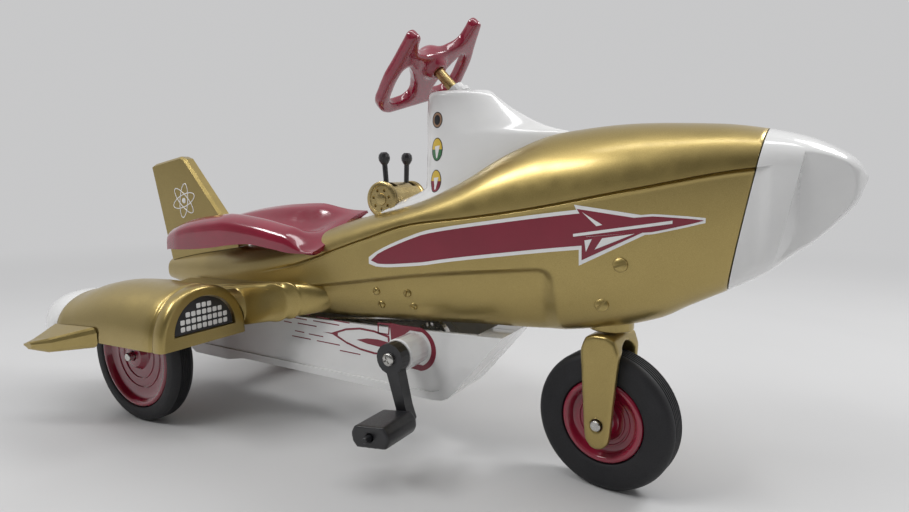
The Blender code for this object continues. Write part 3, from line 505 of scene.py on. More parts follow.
def nose_side(x, row, inset):
    """The nose's side past its band: a sloping wall down to a flat facet."""
    across, height, _ = body_spot(x, row)
    gap = x - BAND_END - SEAM_LEAN * (height - SEAM_FOOT_Z)
    facet = FACET_Y - FACET_SLOPE_X * (x - FACET_X) - FACET_SLOPE_Z * (FACET_Z - height)
    wide = 0.4 + 3.6 * ease(124.0, 94.0, height)
    across = soft_min(across, max(facet, across - WALL_DEPTH * gap / wide), 0.35)
    return max(across, 0.0), height


def make_nose():
    """The white nose cone, with a lip turned in at the seam."""
    start = SEAM_FOOT_X + 0.3
    lip = ((2.5, 0.9), (0.6, 0.7), (-0.12, 0.18))
    rings = [raked_ring(start + ahead, 1.0, nose_band, inset) for ahead, inset in lip]
    rings += [raked_ring(base, 1.0, nose_band) for base in steps(start, BAND_END, 14)]
    for base in [BAND_END + 0.02] + steps(BAND_END + 0.4, 168.0, 44) + steps(168.3, 176.9, 34):
        rings.append(raked_ring(base, 1.0 - ease(153.0, 174.0, base), nose_side))
    piece = loft("nose_shell", rings, "white_enamel", "body", 42)
    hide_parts("nose_cone")
    return piece


COWL_REAR = ((86, -16), (98, -15), (104, -5), (109, 12), (114, 21.5), (140, 21.6), (153.5, 23))
COWL_FRONT = ((86, 88), (128, 88), (134.6, 84), (137, 75), (142, 64), (147, 56), (153.5, 48))
COWL_HALF = ((86, 15.5), (106, 15.0), (116, 13.2), (135, 11.2), (153.5, 9.2))


def cowl_ring(z, inset=0.0, sides=84):
    """Drop-shaped level section of the cowl, blunt at the rear."""
    rear, front, half = (line_value(pairs, z) for pairs in (COWL_REAR, COWL_FRONT, COWL_HALF))
    centre, length = (rear + front) / 2, (front - rear) / 2 - inset
    ring = []
    for j in range(sides):
        turn = 2 * math.pi * (j + 0.5) / sides
        c, s = math.cos(turn), math.sin(turn)
        reach = (1 - c) / 2
        x = centre - length * power(c, 0.8)
        ring.append((x, (half - inset) * power(s, 0.8) * (1.0 - 0.75 * reach ** 1.6) * 1.06, z))
    return ring


def prism(name, outline, low, high, frame_of):
    """Unpainted four-sided cutter between two levels of a flat frame."""
    points = [frame_of(u, v, w) for w in (low, high) for u, v in outline]
    faces = [(0, 1, 2, 3), (4, 7, 6, 5)] + [(i, i + 4, (i + 1) % 4 + 4, (i + 1) % 4) for i in range(4)]
    return new_piece(name, points, faces, None, None)


def make_cowl():
    """The white cowl, slotted at the top where the steering column comes out."""
    rings = [cowl_ring(z) for z in steps(86, 150.6, 60)]
    rings += [cowl_ring(151.4, 0.25), cowl_ring(152.0, 0.7), cowl_ring(152.3, 1.4)]
    piece = loft("cowl_shell", rings, "white_enamel", "body", 50)
    slot = [(28.5, 145.0), (42.0, 145.0), (46.0, 160.0), (27.0, 160.0)]
    carve(piece, prism("slot", slot, -5.4, 5.6, lambda x, z, y: (x, y, z)))
    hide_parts("cowl")
    return piece


# ---------------------------------------------------------------- seat

SEAT_HALF = 29.0


def seat_rows(x):
    """(across, height) spots from the saddle's ridge out and down to its hem, at a station."""
    ridge = line_value(((-124, 90.4), (-112, 94.6), (-101, 97.4), (-78, 101.8), (-57, 104.2), (-40, 105.0),
                        (-29, 104.2), (-20, 102.4)), x)
    crest = line_value(((-124, 91.4), (-105, 96.6), (-88, 99.0), (-78, 100.0), (-60, 98.6), (-45, 96.2),
                        (-34, 94.2), (-20, 91.6)), x)
    dish = line_value(((-124, 1.0), (-100, 4.4), (-75, 6.6), (-50, 5.4), (-34, 1.8), (-20, 0.4)), x)
    hem = line_value(((-124, 80.4), (-105, 81.6), (-88, 83.4), (-72, 85.8), (-61, 86.8), (-47, 85.6),
                      (-36, 84.2), (-26, 84.0), (-20, 84.2)), x)
    half = line_value(((-124, 26.6), (-112, 28.6), (-90, 29.2), (-50, 28.4), (-34, 27.2), (-20, 25.4)), x)
    flank = crest - dish
    rise = ridge - flank
    spots = ((0.0, ridge), (3.0, flank + 0.86 * rise), (7.5, flank + 0.30 * rise), (12.0, flank),
             (17.0, (flank + crest) / 2), (21.5, crest), (26.0, crest - 1.7), (28.6, crest - 4.8),
             (SEAT_HALF, (crest - 4.8 + hem) / 2), (SEAT_HALF, hem))
    curl = (102.4, 101.2, 98.8, 95.6, 91.6, 88.4, 86.0, 85.2, 84.8, 84.2)
    share = ease(-40, -22, x)
    return [(across * half / SEAT_HALF, height + (low - height) * share)
            for (across, height), low in zip(spots, curl)]


def make_seat():
    """Saddle with a raised horn, dished flanks and a deep hem."""
    thick, rings = 2.0, []
    for x in steps(-124, -20, 90):
        rows = seat_rows(x)
        acrosses = [(i, r[0]) for i, r in enumerate(rows)]
        heights = [(i, r[1]) for i, r in enumerate(rows)]
        horn = 6.8 * max(0.0, (x + 40) / 20) ** 1.5
        tuck = 0.4 * (1 - ease(-124, -121.5, x))
        upper, lower = [], []
        for t in steps(0, len(rows) - 1, 64):
            across, height = line_value(acrosses, t), line_value(heights, t)
            swept = 4.0 * ease(-40, -20, x) * ease(12, 26, across)
            spot = x + horn * max(0.0, 1 - across / 16) ** 2 - swept
            share = t / (len(rows) - 1)
            upper.append((spot, across - 0.4 * tuck, height - tuck))
            inner_height = height - thick * (1 - share ** 6) - 0.02
            lower.append((spot, max(0.0, across - thick * share ** 3), inner_height))
        right = [(a, -b, c) for a, b, c in upper]
        right_low = [(a, -b, c) for a, b, c in lower]
        rings.append(right[:0:-1] + upper + lower[:0:-1] + right_low)
    piece = loft("seat_shell", rings, "crimson_enamel", "body", 60)
    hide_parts("seat")
    return piece


# ---------------------------------------------------------------- flat shapes and stickers

def arc(centre, radius, start, end, count):
    turns = [math.radians(start + (end - start) * i / (count - 1)) for i in range(count)]
    return [(centre[0] + radius * math.cos(t), centre[1] + radius * math.sin(t)) for t in turns]


def inside(spot, outline):
    hit = False
    for (x1, y1), (x2, y2) in zip(outline, outline[1:] + outline[:1]):
        if (y1 > spot[1]) != (y2 > spot[1]) and spot[0] < (x2 - x1) * (spot[1] - y1) / (y2 - y1) + x1:
            hit = not hit
    return hit


def dense(outline, step):
    made = []
    for a, b in zip(outline, outline[1:] + outline[:1]):
        count = max(1, int(math.dist(a, b) / step))
        made += [(a[0] + (b[0] - a[0]) * i / count, a[1] + (b[1] - a[1]) * i / count) for i in range(count)]
    return made


def sheet_faces(outline, holes, step):
    """Points and triangles that fill an outline, with a regular grid of points in it."""
    loops = [dense(loop, step) for loop in [outline] + list(holes)]
    flat = [Vector(p) for loop in loops for p in loop]
    edges, start = [], 0
    for loop in loops:
        edges += [(start + i, start + (i + 1) % len(loop)) for i in range(len(loop))]
        start += len(loop)
    us, vs = [p[0] for p in outline], [p[1] for p in outline]
    u = min(us) + step / 2
    while u < max(us):
        v = min(vs) + step / 2
        while v < max(vs):
            if inside((u, v), loops[0]) and not any(inside((u, v), hole) for hole in loops[1:]):
                if min((Vector((u, v)) - p).length for p in flat[:start]) > 0.4 * step:
                    flat.append(Vector((u, v)))
            v += step
        u += step
    result = delaunay_2d_cdt(flat, edges, [], 0, 1e-5)
    kept = []
    for tri in result[2]:
        spot = sum((Vector(result[0][i]) for i in tri), Vector((0, 0))) / len(tri)
        if inside(spot, loops[0]) and not any(inside(spot, hole) for hole in loops[1:]):
            kept.append(tuple(tri))
    return [(p[0], p[1]) for p in result[0]], kept


def slab(name, outline, holes, low, high, paint, body, frame_of=None, step=1.3, angle=38.0):
    """Closed sheet between two surfaces: `frame_of(u, v, w)` turns a flat spot and a height into a point."""
    frame_of = frame_of or (lambda u, v, w: (u, w, v))
    spots, kept = sheet_faces(outline, holes, step)
    count = len(spots)
    points = [frame_of(u, v, low) for u, v in spots] + [frame_of(u, v, high) for u, v in spots]
    rim = {}
    for tri in kept:
        for a, b in zip(tri, tri[1:] + tri[:1]):
            if (b, a) in rim:
                del rim[(b, a)]
            else:
                rim[(a, b)] = True
    faces = list(kept) + [tuple(i + count for i in reversed(tri)) for tri in kept]
    faces += [(b, a, a + count, b + count) for a, b in rim]
    return new_piece(name, points, faces, paint, body, angle)


SIDE_ROWS = {}


def side_at(x, z):
    """How far out the body's painted side is at a spot."""
    key = round(x * 5)
    if key not in SIDE_ROWS:
        SIDE_ROWS[key] = sorted((h, a) for a, h in (skin(key / 5, row) for row in body_rows()))
    rows = SIDE_ROWS[key]
    for (z1, a1), (z2, a2) in zip(rows, rows[1:]):
        if z1 <= z <= z2:
            return a1 + (a2 - a1) * (z - z1) / max(1e-6, z2 - z1)
    return rows[0][1] if z < rows[0][0] else rows[-1][1]


def cowl_at(x, z):
    """How far out the cowl's side is at a spot."""
    ring = [p for p in cowl_ring(z, 0.0, 400) if p[1] >= 0]
    near = sorted(ring, key=lambda p: abs(p[0] - x))[:2]
    (x1, y1, _), (x2, y2, _) = near
    return y1 + (y2 - y1) * (x - x1) / (x2 - x1) if abs(x2 - x1) > 1e-6 else y1


def sticker(name, outline, surface, lift, paint, side, holes=(), step=1.3, sink=0.15):
    place = lambda u, v, w: (u, side * (surface(u, v) + w), v)
    return slab(name, outline, holes, -sink, lift, paint, "body", place, step, 60)


DECAL_SPINE = ((4, 83), (36, 91), (65, 96), (95, 100.5), (134, 105))
DECAL_TAIL, DECAL_JOIN, DECAL_TIP = 4.5, 96.0, 134.0


def decal_half(x):
    """Half the height of the rocket decal: a rounded tail, a straight body and a slim pointed nose."""
    if x <= DECAL_JOIN:
        return min(5.5, 6.0 * math.sqrt(max(0.0, x - DECAL_TAIL) / 32))
    return 2.5 * min(1.0, max(0.0, DECAL_TIP - x) / 15) ** 0.85


def decal_strip(start, end, grow):
    """Outline along the decal's spine between two stations, grown on every side."""
    stations = steps(start, end, 26)
    top = [(x, line_value(DECAL_SPINE, x) + decal_half(x) + grow) for x in stations]
    bottom = [(x, line_value(DECAL_SPINE, x) - decal_half(x) - grow) for x in reversed(stations)]
    return top + bottom


def side_decal(side, label):
    """Rocket-shaped decal along the body's side, lettering left out."""
    white = (("hull", decal_strip(DECAL_TAIL - 1.2, DECAL_JOIN - 0.5, 1.4)),
             ("nose", decal_strip(DECAL_JOIN - 1, DECAL_TIP + 0.6, 0.8)),
             ("fin_top", [(93, 109), (117, 106), (97, 101)]), ("fin_low", [(95, 88), (119, 101), (95, 98)]))
    red = (("hull", decal_strip(DECAL_TAIL, DECAL_JOIN, 0.05)),
           ("nose", decal_strip(DECAL_JOIN, DECAL_TIP, 0.05)),
           ("fin_top", [(94, 107.6), (115, 105), (98, 102)]), ("fin_low", [(96, 98), (116, 100.5), (96, 90)]))
    marks = (("stripe", [(93, 99), (125, 104.7), (125, 103.7), (93, 98)]),
             ("sliver_1", [(96, 106.5), (103, 102.5), (101, 102)]),
             ("sliver_2", [(97, 97), (99.5, 97.5), (97.5, 93)]), ("sliver_3", [(100.5, 94), (103, 98), (113.5, 100)]))
    for layer, lift, paint, shapes in (("border", 0.06, "white_enamel", white), ("field", 0.11, "decal_crimson", red),
                                       ("mark", 0.20, "white_enamel", marks)):
        for number, (name, outline) in enumerate(shapes):
            sticker("side_%s_%s_%s" % (layer, name, label), outline, side_at, lift + 0.01 * number, paint,
                    side, step=0.9)


def round_outline(centre, wide, high, count=28):
    return [(centre[0] + wide * math.cos(2 * math.pi * i / count),
             centre[1] + high * math.sin(2 * math.pi * i / count))
            for i in range(count)]


def gauges(side, label):
    """Three oval dials on the cowl's rear corner, one above the other."""
    x = 30.4
    for number, (z, upper, lower) in enumerate(((140.7, "dial_brown", "dial_brown"),
                                                (129.0, "dial_yellow", "dial_green"),
                                                (116.3, "dial_yellow", "decal_crimson"))):
        high = (3.2, 4.7, 4.6)[number]
        wide = (2.6, 3.0, 3.0)[number]
        name = "gauge_%d_%s" % (number + 1, label)
        sticker(name + "_edge", round_outline((x, z), wide, high), cowl_at, 0.06, "black_satin", side, step=0.8)
        inner = round_outline((x, z), wide - 0.35, high - 0.35)
        sticker(name + "_low", [p for p in inner if p[1] <= z], cowl_at, 0.10, lower, side, step=0.8)
        sticker(name + "_top", [p for p in inner if p[1] >= z], cowl_at, 0.10, upper, side, step=0.8)
        if number:
            sticker(name + "_mark", [(x - 0.3, z - high + 1.2), (x + 0.3, z - high + 1.2), (x + 1.5, z + 1.6),
                                     (x - 1.2, z + 1.2)], cowl_at, 0.14, "white_enamel", side, step=0.7)
        else:
            sticker(name + "_dark", round_outline((x, z), 1.5, 2.0), cowl_at, 0.14, "black_satin", side, step=0.7)


# ---------------------------------------------------------------- pods, wings and tail

POD_Y = 49.4
POD_FRONT = -66.0
POD_REAR = -149.0


def pod_arch(x, inset=0.0, sides=56, drop=0.0):
    ridge = line_value(((-180, 59), (-146, 61.5), (-132, 65.6), (-115, 68.8), (-95, 70.0), (-66, 70.4)), x)
    bottom = 45.0 - line_value(((-150, 3.0), (-66, 0.0)), x)
    half = 22.2 - inset
    ring = [(x, half * power(math.cos(math.pi * j / sides), 0.92),
             bottom + (ridge - inset - bottom) * power(math.sin(math.pi * j / sides), 0.92))
            for j in range(sides + 1)]
    return [(x, half, bottom - drop)] + ring + [(x, -half, bottom - drop)]


def shifted(rings, offset):
    return [[(x, y + offset, z) for x, y, z in ring] for ring in rings]


def make_pod(side, label):
    centre = side * POD_Y
    stations = [(POD_FRONT, 2.2), (POD_FRONT - 0.15, 1.3), (POD_FRONT - 0.6, 0.6), (POD_FRONT - 1.4, 0.15),
                (POD_FRONT - 2.4, 0.0), (-71.6, 0.0), (-72.3, 0.15), (-72.8, 0.6), (-73.4, 0.75), (-74.0, 0.6),
                (-74.5, 0.15), (-75.2, 0.0)]
    stations += [(x, 0.0) for x in steps(-80, -147.6, 18)] + [(-148.5, 0.3), (POD_REAR, 1.0)]
    pod = loft("pod_cast_" + label, shifted([pod_arch(x, inset, drop=0.4) for x, inset in stations], centre),
               "gold_paint", "body")
    inner = [pod_arch(x, 1.6, drop=8.0) for x in steps(POD_FRONT - 3.0, POD_REAR + 1.8, 12)]
    carve(pod, loft("pod_hollow", shifted(inner, centre), None, None))
    window = [(u + centre, v) for u, v in arc((0, 50.0), 15.9, 0, 180, 44)]
    side_on = lambda u, v, w: (w, u, v)
    carve(pod, slab("window", window, [], POD_FRONT - 6, POD_FRONT + 4, None, None, side_on, 4.0))
    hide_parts("pod_" + label)
    points, faces = [], []
    for row in range(4):
        for k in range(-5, 6):
            u, v = k * 2.75, 52.6 + row * 3.05
            if math.hypot(abs(u) + 1.05, v + 1.1 - 50.0) > 14.4:
                continue
            n = len(points)
            face_x = POD_FRONT - 1.0
            for w, pinch in ((face_x - 0.2, 1.0), (face_x + 0.12, 1.0), (face_x + 0.2, 0.88)):
                for a, b in arc((0, 0), 1.0, 9, 351, 16):
                    out, up = 1.05 * pinch * power(a, 0.4), 1.1 * pinch * power(b, 0.4)
                    points.append((w, centre + u + out, v + up))
            for level in range(2):
                faces += [(n + level * 16 + i, n + level * 16 + (i + 1) % 16, n + level * 16 + 16 + (i + 1) % 16,
                           n + level * 16 + 16 + i) for i in range(16)]
            faces += [tuple(range(n, n + 16)), tuple(range(n + 32, n + 48))]
    new_piece("grille_squares_" + label, points, faces, "white_enamel", "body")
    caps = []
    for t in steps(0.0, 1.0, 26):
        bulge = math.sqrt(max(0.0, 1 - (0.985 * t) ** 2.2))
        x = POD_REAR - 0.3 - 27.0 * t
        caps.append([(x, y * (0.12 + 0.88 * bulge), 47.0 + (z - 47.0) * (0.12 + 0.88 * bulge))
                     for _, y, z in pod_arch(POD_REAR, 0.6)])
    caps.insert(0, [(POD_REAR - 0.05, y * 0.985, 47 + (z - 47) * 0.985) for _, y, z in pod_arch(POD_REAR, 0.9)])
    cap = loft("tail_cap_cast_" + label, shifted(caps, centre), "white_enamel", "body", 50)
    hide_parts("tail_cap_" + label)


def make_wing(side, label):
    """Swept fairing between the body and a pod, with a double bead round its root."""
    lead = ((12.0, -22), (16.0, -24.5), (18.5, -27.0), (20.8, -31.5), (22.2, -36.2), (23.2, -39.4), (25.2, -52),
            (27.0, -66), (45.0, -70))
    low = ((12.0, 55.8), (18.5, 54.8), (22.2, 53.2), (25.2, 49.0), (27.0, 46.2), (45.0, 46.2))
    high = ((12.0, 70.2), (18.5, 69.6), (22.2, 68.7), (25.2, 66.8), (27.0, 64.4), (45.0, 64.4))
    rings = []
    for y in steps(12.0, 21.0, 16) + steps(21.2, 25.4, 34) + steps(25.7, 28.0, 10) + steps(29.0, 42.0, 6):
        bead = 0.85 * math.exp(-((y - 22.3) / 0.42) ** 2) + 0.7 * math.exp(-((y - 23.9) / 0.40) ** 2)
        front, base, roof = line_value(lead, y) + bead, line_value(low, y) - bead, line_value(high, y) + bead
        mid, rise = (base + roof) / 2, (roof - base) / 2
        ring = [(-127.0, side * y, base + 2)]
        for k in range(40):
            angle = math.radians(-90 + 180 * k / 39)
            ring.append((front - 9.0 + 9.0 * power(math.cos(angle), 0.8), side * y,
                         mid + rise * power(math.sin(angle), 0.9)))
        ring.append((-127.0, side * y, base + 7))
        rings.append(ring)
    wing = loft("wing_cast_" + label, rings, "gold_paint", "body", 50)
    cut = [pod_arch(x, -0.1, drop=6.0) for x in (POD_FRONT + 20, -85, -105, -120, -133, POD_REAR)]
    carve(wing, loft("pod_shape", shifted(cut, side * POD_Y), None, None))
    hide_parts("wing_" + label)


def edge_bevel(width, *nodes):
    """Rounds the edges of CAD nodes that stay, as their thick paint does."""
    for node in nodes:
        bevel = frame["nodes"][node].modifiers.new("edge", "BEVEL")
        bevel.width = width * MM
        bevel.segments = 3
        bevel.limit_method = "ANGLE"
        bevel.angle_limit = math.radians(40.0)
        bevel.use_clamp_overlap = True


# ---------------------------------------------------------------- wheels

def wheel_place(x, y, z, turn=0.0, side=-1):
    flip = Matrix.Rotation(math.pi, 4, "Z") if side < 0 else Matrix.Identity(4)
    turned = Matrix.Translation((x, 0, 0)) @ Matrix.Rotation(math.radians(turn), 4, "Z")
    return turned @ Matrix.Translation((0, y, z)) @ flip


def make_wheel(name, radius, rim, half, hub, place, body, nodes):
    """Tyre with fine tread grooves and a dished rim with a flange and turned rings; +Y is the near side."""
    tyre = [(rim + 0.3, -half + 1.2), (rim + 0.5, -half + 0.5), (rim + 1.2, -half + 0.12), (rim + 2.5, -half)]
    crown = [(radius - 4.2, -half + 0.02)]
    crown += [(radius - 3.4 + 3.4 * math.sin(a), -half + 3.4 * (1 - math.cos(a)))
              for a in steps(0.1, 1.45, 10)]
    tyre += crown
    span = half - 3.0
    for k in range(5):
        mid = -span + 2 * span * (k + 0.5) / 5
        tyre += [(radius, mid - 0.42), (radius - 0.5, mid - 0.22), (radius - 0.5, mid + 0.22),
                 (radius, mid + 0.42)]
    tyre += [(r, -w) for r, w in reversed(crown)]
    tyre += [(rim + 2.5, half), (rim + 1.2, half - 0.12), (rim + 0.5, half - 0.5), (rim + 0.3, half - 1.2)]
    mesh = lathe(name + "_tyre_tread", [(r, w) for r, w in tyre], "black_rubber", body, place, "Y", 128, 30)
    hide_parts(nodes[0])
    deep = half - 3.2
    face = [(2.3, half - 0.6), (2.6, half - 0.3), (hub * 0.5, half - 0.25), (hub - 1.0, half - 0.7),
            (hub - 0.2, half - 1.6),
            (hub + 0.3, deep + 0.5), (hub + 0.9, deep)]
    room = rim - 3.8 - (hub + 1.4)
    for k in (0.28, 0.62):
        spot = hub + 1.4 + room * k
        face += [(spot - 0.45, deep), (spot - 0.2, deep + 0.42), (spot + 0.2, deep + 0.42),
                 (spot + 0.45, deep)]
    face += [(rim - 3.8, deep), (rim - 3.3, deep + 0.3), (rim - 2.7, half - 1.5), (rim - 2.3, half - 0.7),
             (rim - 1.9, half - 0.35),
             (rim - 1.3, half - 0.25), (rim - 0.6, half - 0.35), (rim - 0.1, half - 0.8), (rim, half - 1.2)]
    whole = face + [(r, -w) for r, w in reversed(face)]
    piece = lathe(name + "_rim_turned", whole, "crimson_enamel", body, place, "Y", 128, 34)
    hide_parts(nodes[1])


def screw_head(name, place, radius, rise, paint, body, cross=False, turn=20.0, nodes=()):
    """Domed screw head with a slot or a cross; its axis is the frame's Z."""
    dome = [(0, -0.6), (radius, -0.6), (radius, rise * 0.35)]
    dome += [(radius * math.cos(a), rise * (0.35 + 0.65 * math.sin(a)))
             for a in steps(0.15, math.pi / 2 - 0.06, 10)]
    dome.append((0, rise))
    head = lathe(name, dome, paint, body, place, "Z", 40)
    for k in range(2 if cross else 1):
        angle = math.radians(turn + 90 * k)
        long, wide = radius * (0.62 if cross else 1.2), radius * (0.13 if cross else 0.16)
        points = []
        for w in (rise * 0.35, rise + 1):
            for a, b in ((-long, -wide), (long, -wide), (long, wide), (-long, wide)):
                spot = Vector((a * math.cos(angle) - b * math.sin(angle),
                               a * math.sin(angle) + b * math.cos(angle), w))
                points.append(place @ spot)
        faces = [(0, 1, 2, 3), (4, 7, 6, 5)] + [(i, i + 4, (i + 1) % 4 + 4, (i + 1) % 4) for i in range(4)]
        carve(head, new_piece("slot", points, faces, None, None))
    if nodes:
        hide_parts(*nodes)
    return head


def facing(side, x, across, z, lean=0.0):
    """Frame whose Z points out of the right (-1) or left (+1) side."""
    tilt = math.radians(-side * (90 - lean))
    return Matrix.Translation((x, side * across, z)) @ Matrix.Rotation(tilt, 4, "X")


def make_screws():
    for side, label in SIDES:
        for number, (x, z) in enumerate(((109.0, 89.2), (102.2, 74.2)), 1):
            place = facing(side, x, side_at(x, z) + 0.1, z, 4)
            screw_head("body_screw_slotted_%s_%d" % (label, number), place, 2.5, 1.3,
                       "gold_paint", "body", turn=25 * number, nodes=("body_screw_%s_%d" % (label, number),))
        for number, (x, z) in enumerate(((4.1, 69.2), (20.3, 70.0), (5.7, 63.3), (22.3, 64.3)), 1):
            screw_head("recess_screw_%s_%d" % (label, number), facing(side, x, side_at(x, z), z), 1.75, 1.0,
                       "gold_paint", "body", turn=40 * number)


# ---------------------------------------------------------------- belly, cranks, drum and yoke

def make_belly_decals(side, label):
    """Rocket tail, flame and speed lines on the belly's panel, round the crank boss."""
    flat = lambda x, z: 13.7
    loop = [(8.6, 55.2), (15.0, 54.8)] + arc((22.6, 45.6), 9.6, 80, -78, 26) + [(13.2, 37.2), (10.0, 38.4)]
    gap = [(12.0, 53.6), (16.6, 53.2)] + arc((21.9, 45.9), 8.0, 66, -62, 22)
    gap += [(15.2, 39.0), (12.6, 41.0), (10.8, 48.0)]
    sticker("belly_loop_" + label, loop, flat, 0.08, "decal_crimson", side, holes=(gap,), step=1.6)
    wedge = [(9.6, 54.0), (19.5, 53.4), (11.6, 47.4), (10.9, 45.8)]
    sticker("belly_wedge_" + label, wedge, flat, 0.12, "decal_crimson", side, step=1.6)
    shape = lambda grow: [(7.8 + grow, 48.8 + grow), (0, 50.2 + grow), (-8, 50.4 + grow), (-16, 49.0 + grow),
                          (-24 - 3 * grow, 46.0), (-16, 42.8 - grow), (-8, 40.9 - grow), (0, 40.2 - grow),
                          (8.6 + grow, 40.6 - grow)]
    sticker("belly_flame_" + label, shape(0.45), flat, 0.08, "decal_crimson", side,
            holes=(shape(-0.45),), step=1.6)
    heart = [(8.6, 46.2), (2, 46.8), (-4, 46.4), (-10, 45.0), (-4, 44.0), (2, 43.6), (8.8, 43.8)]
    sticker("belly_heart_" + label, heart, flat, 0.08, "decal_crimson", side, step=1.6)
    blade = [(-21, 46.6), (-24.5, 46.2), (-30, 45.9), (-24.5, 45.6), (-21, 45.2)]
    sticker("belly_point_" + label, blade, flat, 0.10, "decal_crimson", side, step=1.6)
    for name, low, high, tip in (("fin_top", 49.6, 54.4, 2.0), ("fin_low", 40.0, 35.4, 4.0)):
        way = 0.5 if high > low else -0.5
        outer = [(8.2, low), (tip, low), (tip, high), (8.8, high + way)]
        inner = [(7.6, low + way), (tip + 0.6, low + way), (tip + 0.6, high - way), (8.0, high - way)]
        sticker("belly_%s_%s" % (name, label), outer, flat, 0.08, "decal_crimson", side,
                holes=(inner,), step=1.6)
    for k, (x, z, long) in enumerate(((-14, 52.4, 9), (-26, 52.8, 8), (-38, 53.2, 10), (-20, 50.6, 16),
                                      (-40, 50.6, 9),
                                      (-34, 48.2, 12), (-50, 48.0, 5), (-30, 43.8, 9), (-42, 44.2, 6),
                                      (-20, 41.2, 14),
                                      (-38, 41.4, 12), (-8, 38.6, 12))):
        dash = [(x, z), (x - long, z + 0.1), (x - long, z - 0.35), (x, z - 0.5)]
        sticker("belly_dash_%d_%s" % (k + 1, label), dash, flat, 0.08, "decal_crimson", side, step=1.6)


def make_fin_motif(side, label):
    """Three crossed orbits and a centre dot on the tail fin."""
    cx, cz = -140.0, 104.0
    flat = lambda x, z: 3.4
    for k, turn in enumerate((20.0, 80.0, 140.0)):
        a = math.radians(turn)
        shape = lambda grow: [
            (cx + (9.6 + grow) * math.cos(t) * math.cos(a) - (3.3 + grow) * math.sin(t) * math.sin(a),
                               cz + (9.6 + grow) * math.cos(t) * math.sin(a) + (3.3 + grow) * math.sin(t) * math.cos(a))
                              for t in steps(0, 2 * math.pi * 39 / 40, 40)]
        sticker("fin_orbit_%d_%s" % (k + 1, label), shape(0.28), flat, 0.06 + 0.02 * k, "white_enamel", side,
                holes=(shape(-0.28),), step=1.4, sink=0.2)
    sticker("fin_core_" + label, round_outline((cx, cz), 1.5, 1.5, 20), flat, 0.12, "white_enamel", side,
            step=0.9, sink=0.2)


def make_drum_ends():
    for side, label in SIDES:
        profile = [(0, -0.3), (7.3, -0.3), (7.6, 0.1), (7.6, 0.7), (7.3, 1.0), (7.3, 1.3), (7.6, 1.6),
                   (7.6, 1.9), (7.3, 2.15),
                   (5.9, 2.2), (5.7, 1.9), (2.6, 1.9), (2.4, 2.3), (1.6, 2.5), (0, 2.5)]
        place = facing(side, 3.6, 9.7, 108.3)
        end = lathe("drum_end_" + label, profile, "brass", "body", place, "Z", 80)
        for k in range(7):
            a = 2 * math.pi * (k + 0.3) / 7
            tool = lathe("hole", [(0, 1.2), (0.72, 1.2), (0.72, 4), (0, 4)], None, None,
                         place @ Matrix.Translation((4.15 * math.cos(a), 4.15 * math.sin(a), 0)), "Z", 16)
            carve(end, tool)
        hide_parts("drum_cap_" + label)


def melted(node, name, paint, voxel, rounds):
    """Copy of a CAD node with its edges rounded off as on an enamelled casting, in the node's place."""
    source = frame["nodes"][node]
    piece = bpy.data.objects.new(name, source.data.copy())
    bpy.context.collection.objects.link(piece)
    piece.matrix_world = source.matrix_world
    bpy.context.view_layer.update()
    soften(piece, voxel, rounds)
    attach(piece, body_of(source)[0])
    piece.data.materials.clear()
    piece.data.materials.append(MATERIALS[paint])
    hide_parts(node)
    return piece


# ---------------------------------------------------------------- camera, floor and light

CAMERA_PLACE = Vector((0.1618, -0.2211, 0.1202))
CAMERA_AZIMUTH = math.radians(30.2)
CAMERA_ELEVATION = math.radians(7.95)


BACKDROP = (0.575, 0.575, 0.58)


def make_camera():
    data = bpy.data.cameras.new("camera")
    data.lens = 24.0
    data.sensor_width = 36.0
    data.clip_start = 0.01
    data.clip_end = 30.0
    data.dof.use_dof = False
    camera = bpy.data.objects.new("camera", data)
    bpy.context.collection.objects.link(camera)
    a, e = CAMERA_AZIMUTH, CAMERA_ELEVATION
    back = Vector((math.sin(a) * math.cos(e), -math.cos(a) * math.cos(e), math.sin(e)))
    right = Vector((math.cos(a), math.sin(a), 0.0))
    up = back.cross(right)
    camera.matrix_world = Matrix((
        (right.x, up.x, back.x, CAMERA_PLACE.x),
        (right.y, up.y, back.y, CAMERA_PLACE.y),
        (right.z, up.z, back.z, CAMERA_PLACE.z),
        (0.0, 0.0, 0.0, 1.0)))
    bpy.context.scene.camera = camera


def make_floor():
    """Pale paper floor that fades into an evenly lit backdrop far from the car."""
    g = Graph("studio_paper")
    far = g.add("ShaderNodeVectorMath", {0: g.coords()}, operation="LENGTH").outputs["Value"]
    fade = g.add("ShaderNodeMapRange", {"Value": far, "From Min": 0.30, "From Max": 0.95},
                 interpolation_type="SMOOTHSTEP")
    fade = fade.outputs["Result"]
    paper = g.blend_colours(g.noise(9.0, 3.0), (0.60, 0.60, 0.60), (0.56, 0.56, 0.56))
    g.set(Base_Color=g.blend_colours(fade, paper, (0.0, 0.0, 0.0)),
          Roughness=g.remap(g.noise(60.0), 0.3, 0.7, 0.7, 0.8))
    g.set(Specular_IOR_Level=0.0, Emission_Color=(*BACKDROP, 1.0), Emission_Strength=fade)
    g.bump([(g.noise(6.0, 2.0), 3.0, 0.10)])
    turns, radii = 64, (0.15, 0.5, 1.0, 2.0, 6.0, 30.0)
    points = [(r * math.cos(2 * math.pi * i / turns), r * math.sin(2 * math.pi * i / turns), 0) for r in radii
              for i in range(turns)] + [(0, 0, 0)]
    faces = [(i, (i + 1) % turns, len(points) - 1) for i in range(turns)]
    for r in range(len(radii) - 1):
        faces += [(r * turns + i, (r + 1) * turns + i, (r + 1) * turns + (i + 1) % turns,
                   r * turns + (i + 1) % turns)
                  for i in range(turns)]
    mesh = bpy.data.meshes.new("studio_floor")
    mesh.from_pydata(points, [], faces)
    mesh.materials.append(g.material)
    floor = bpy.data.objects.new("studio_floor", mesh)
    bpy.context.collection.objects.link(floor)


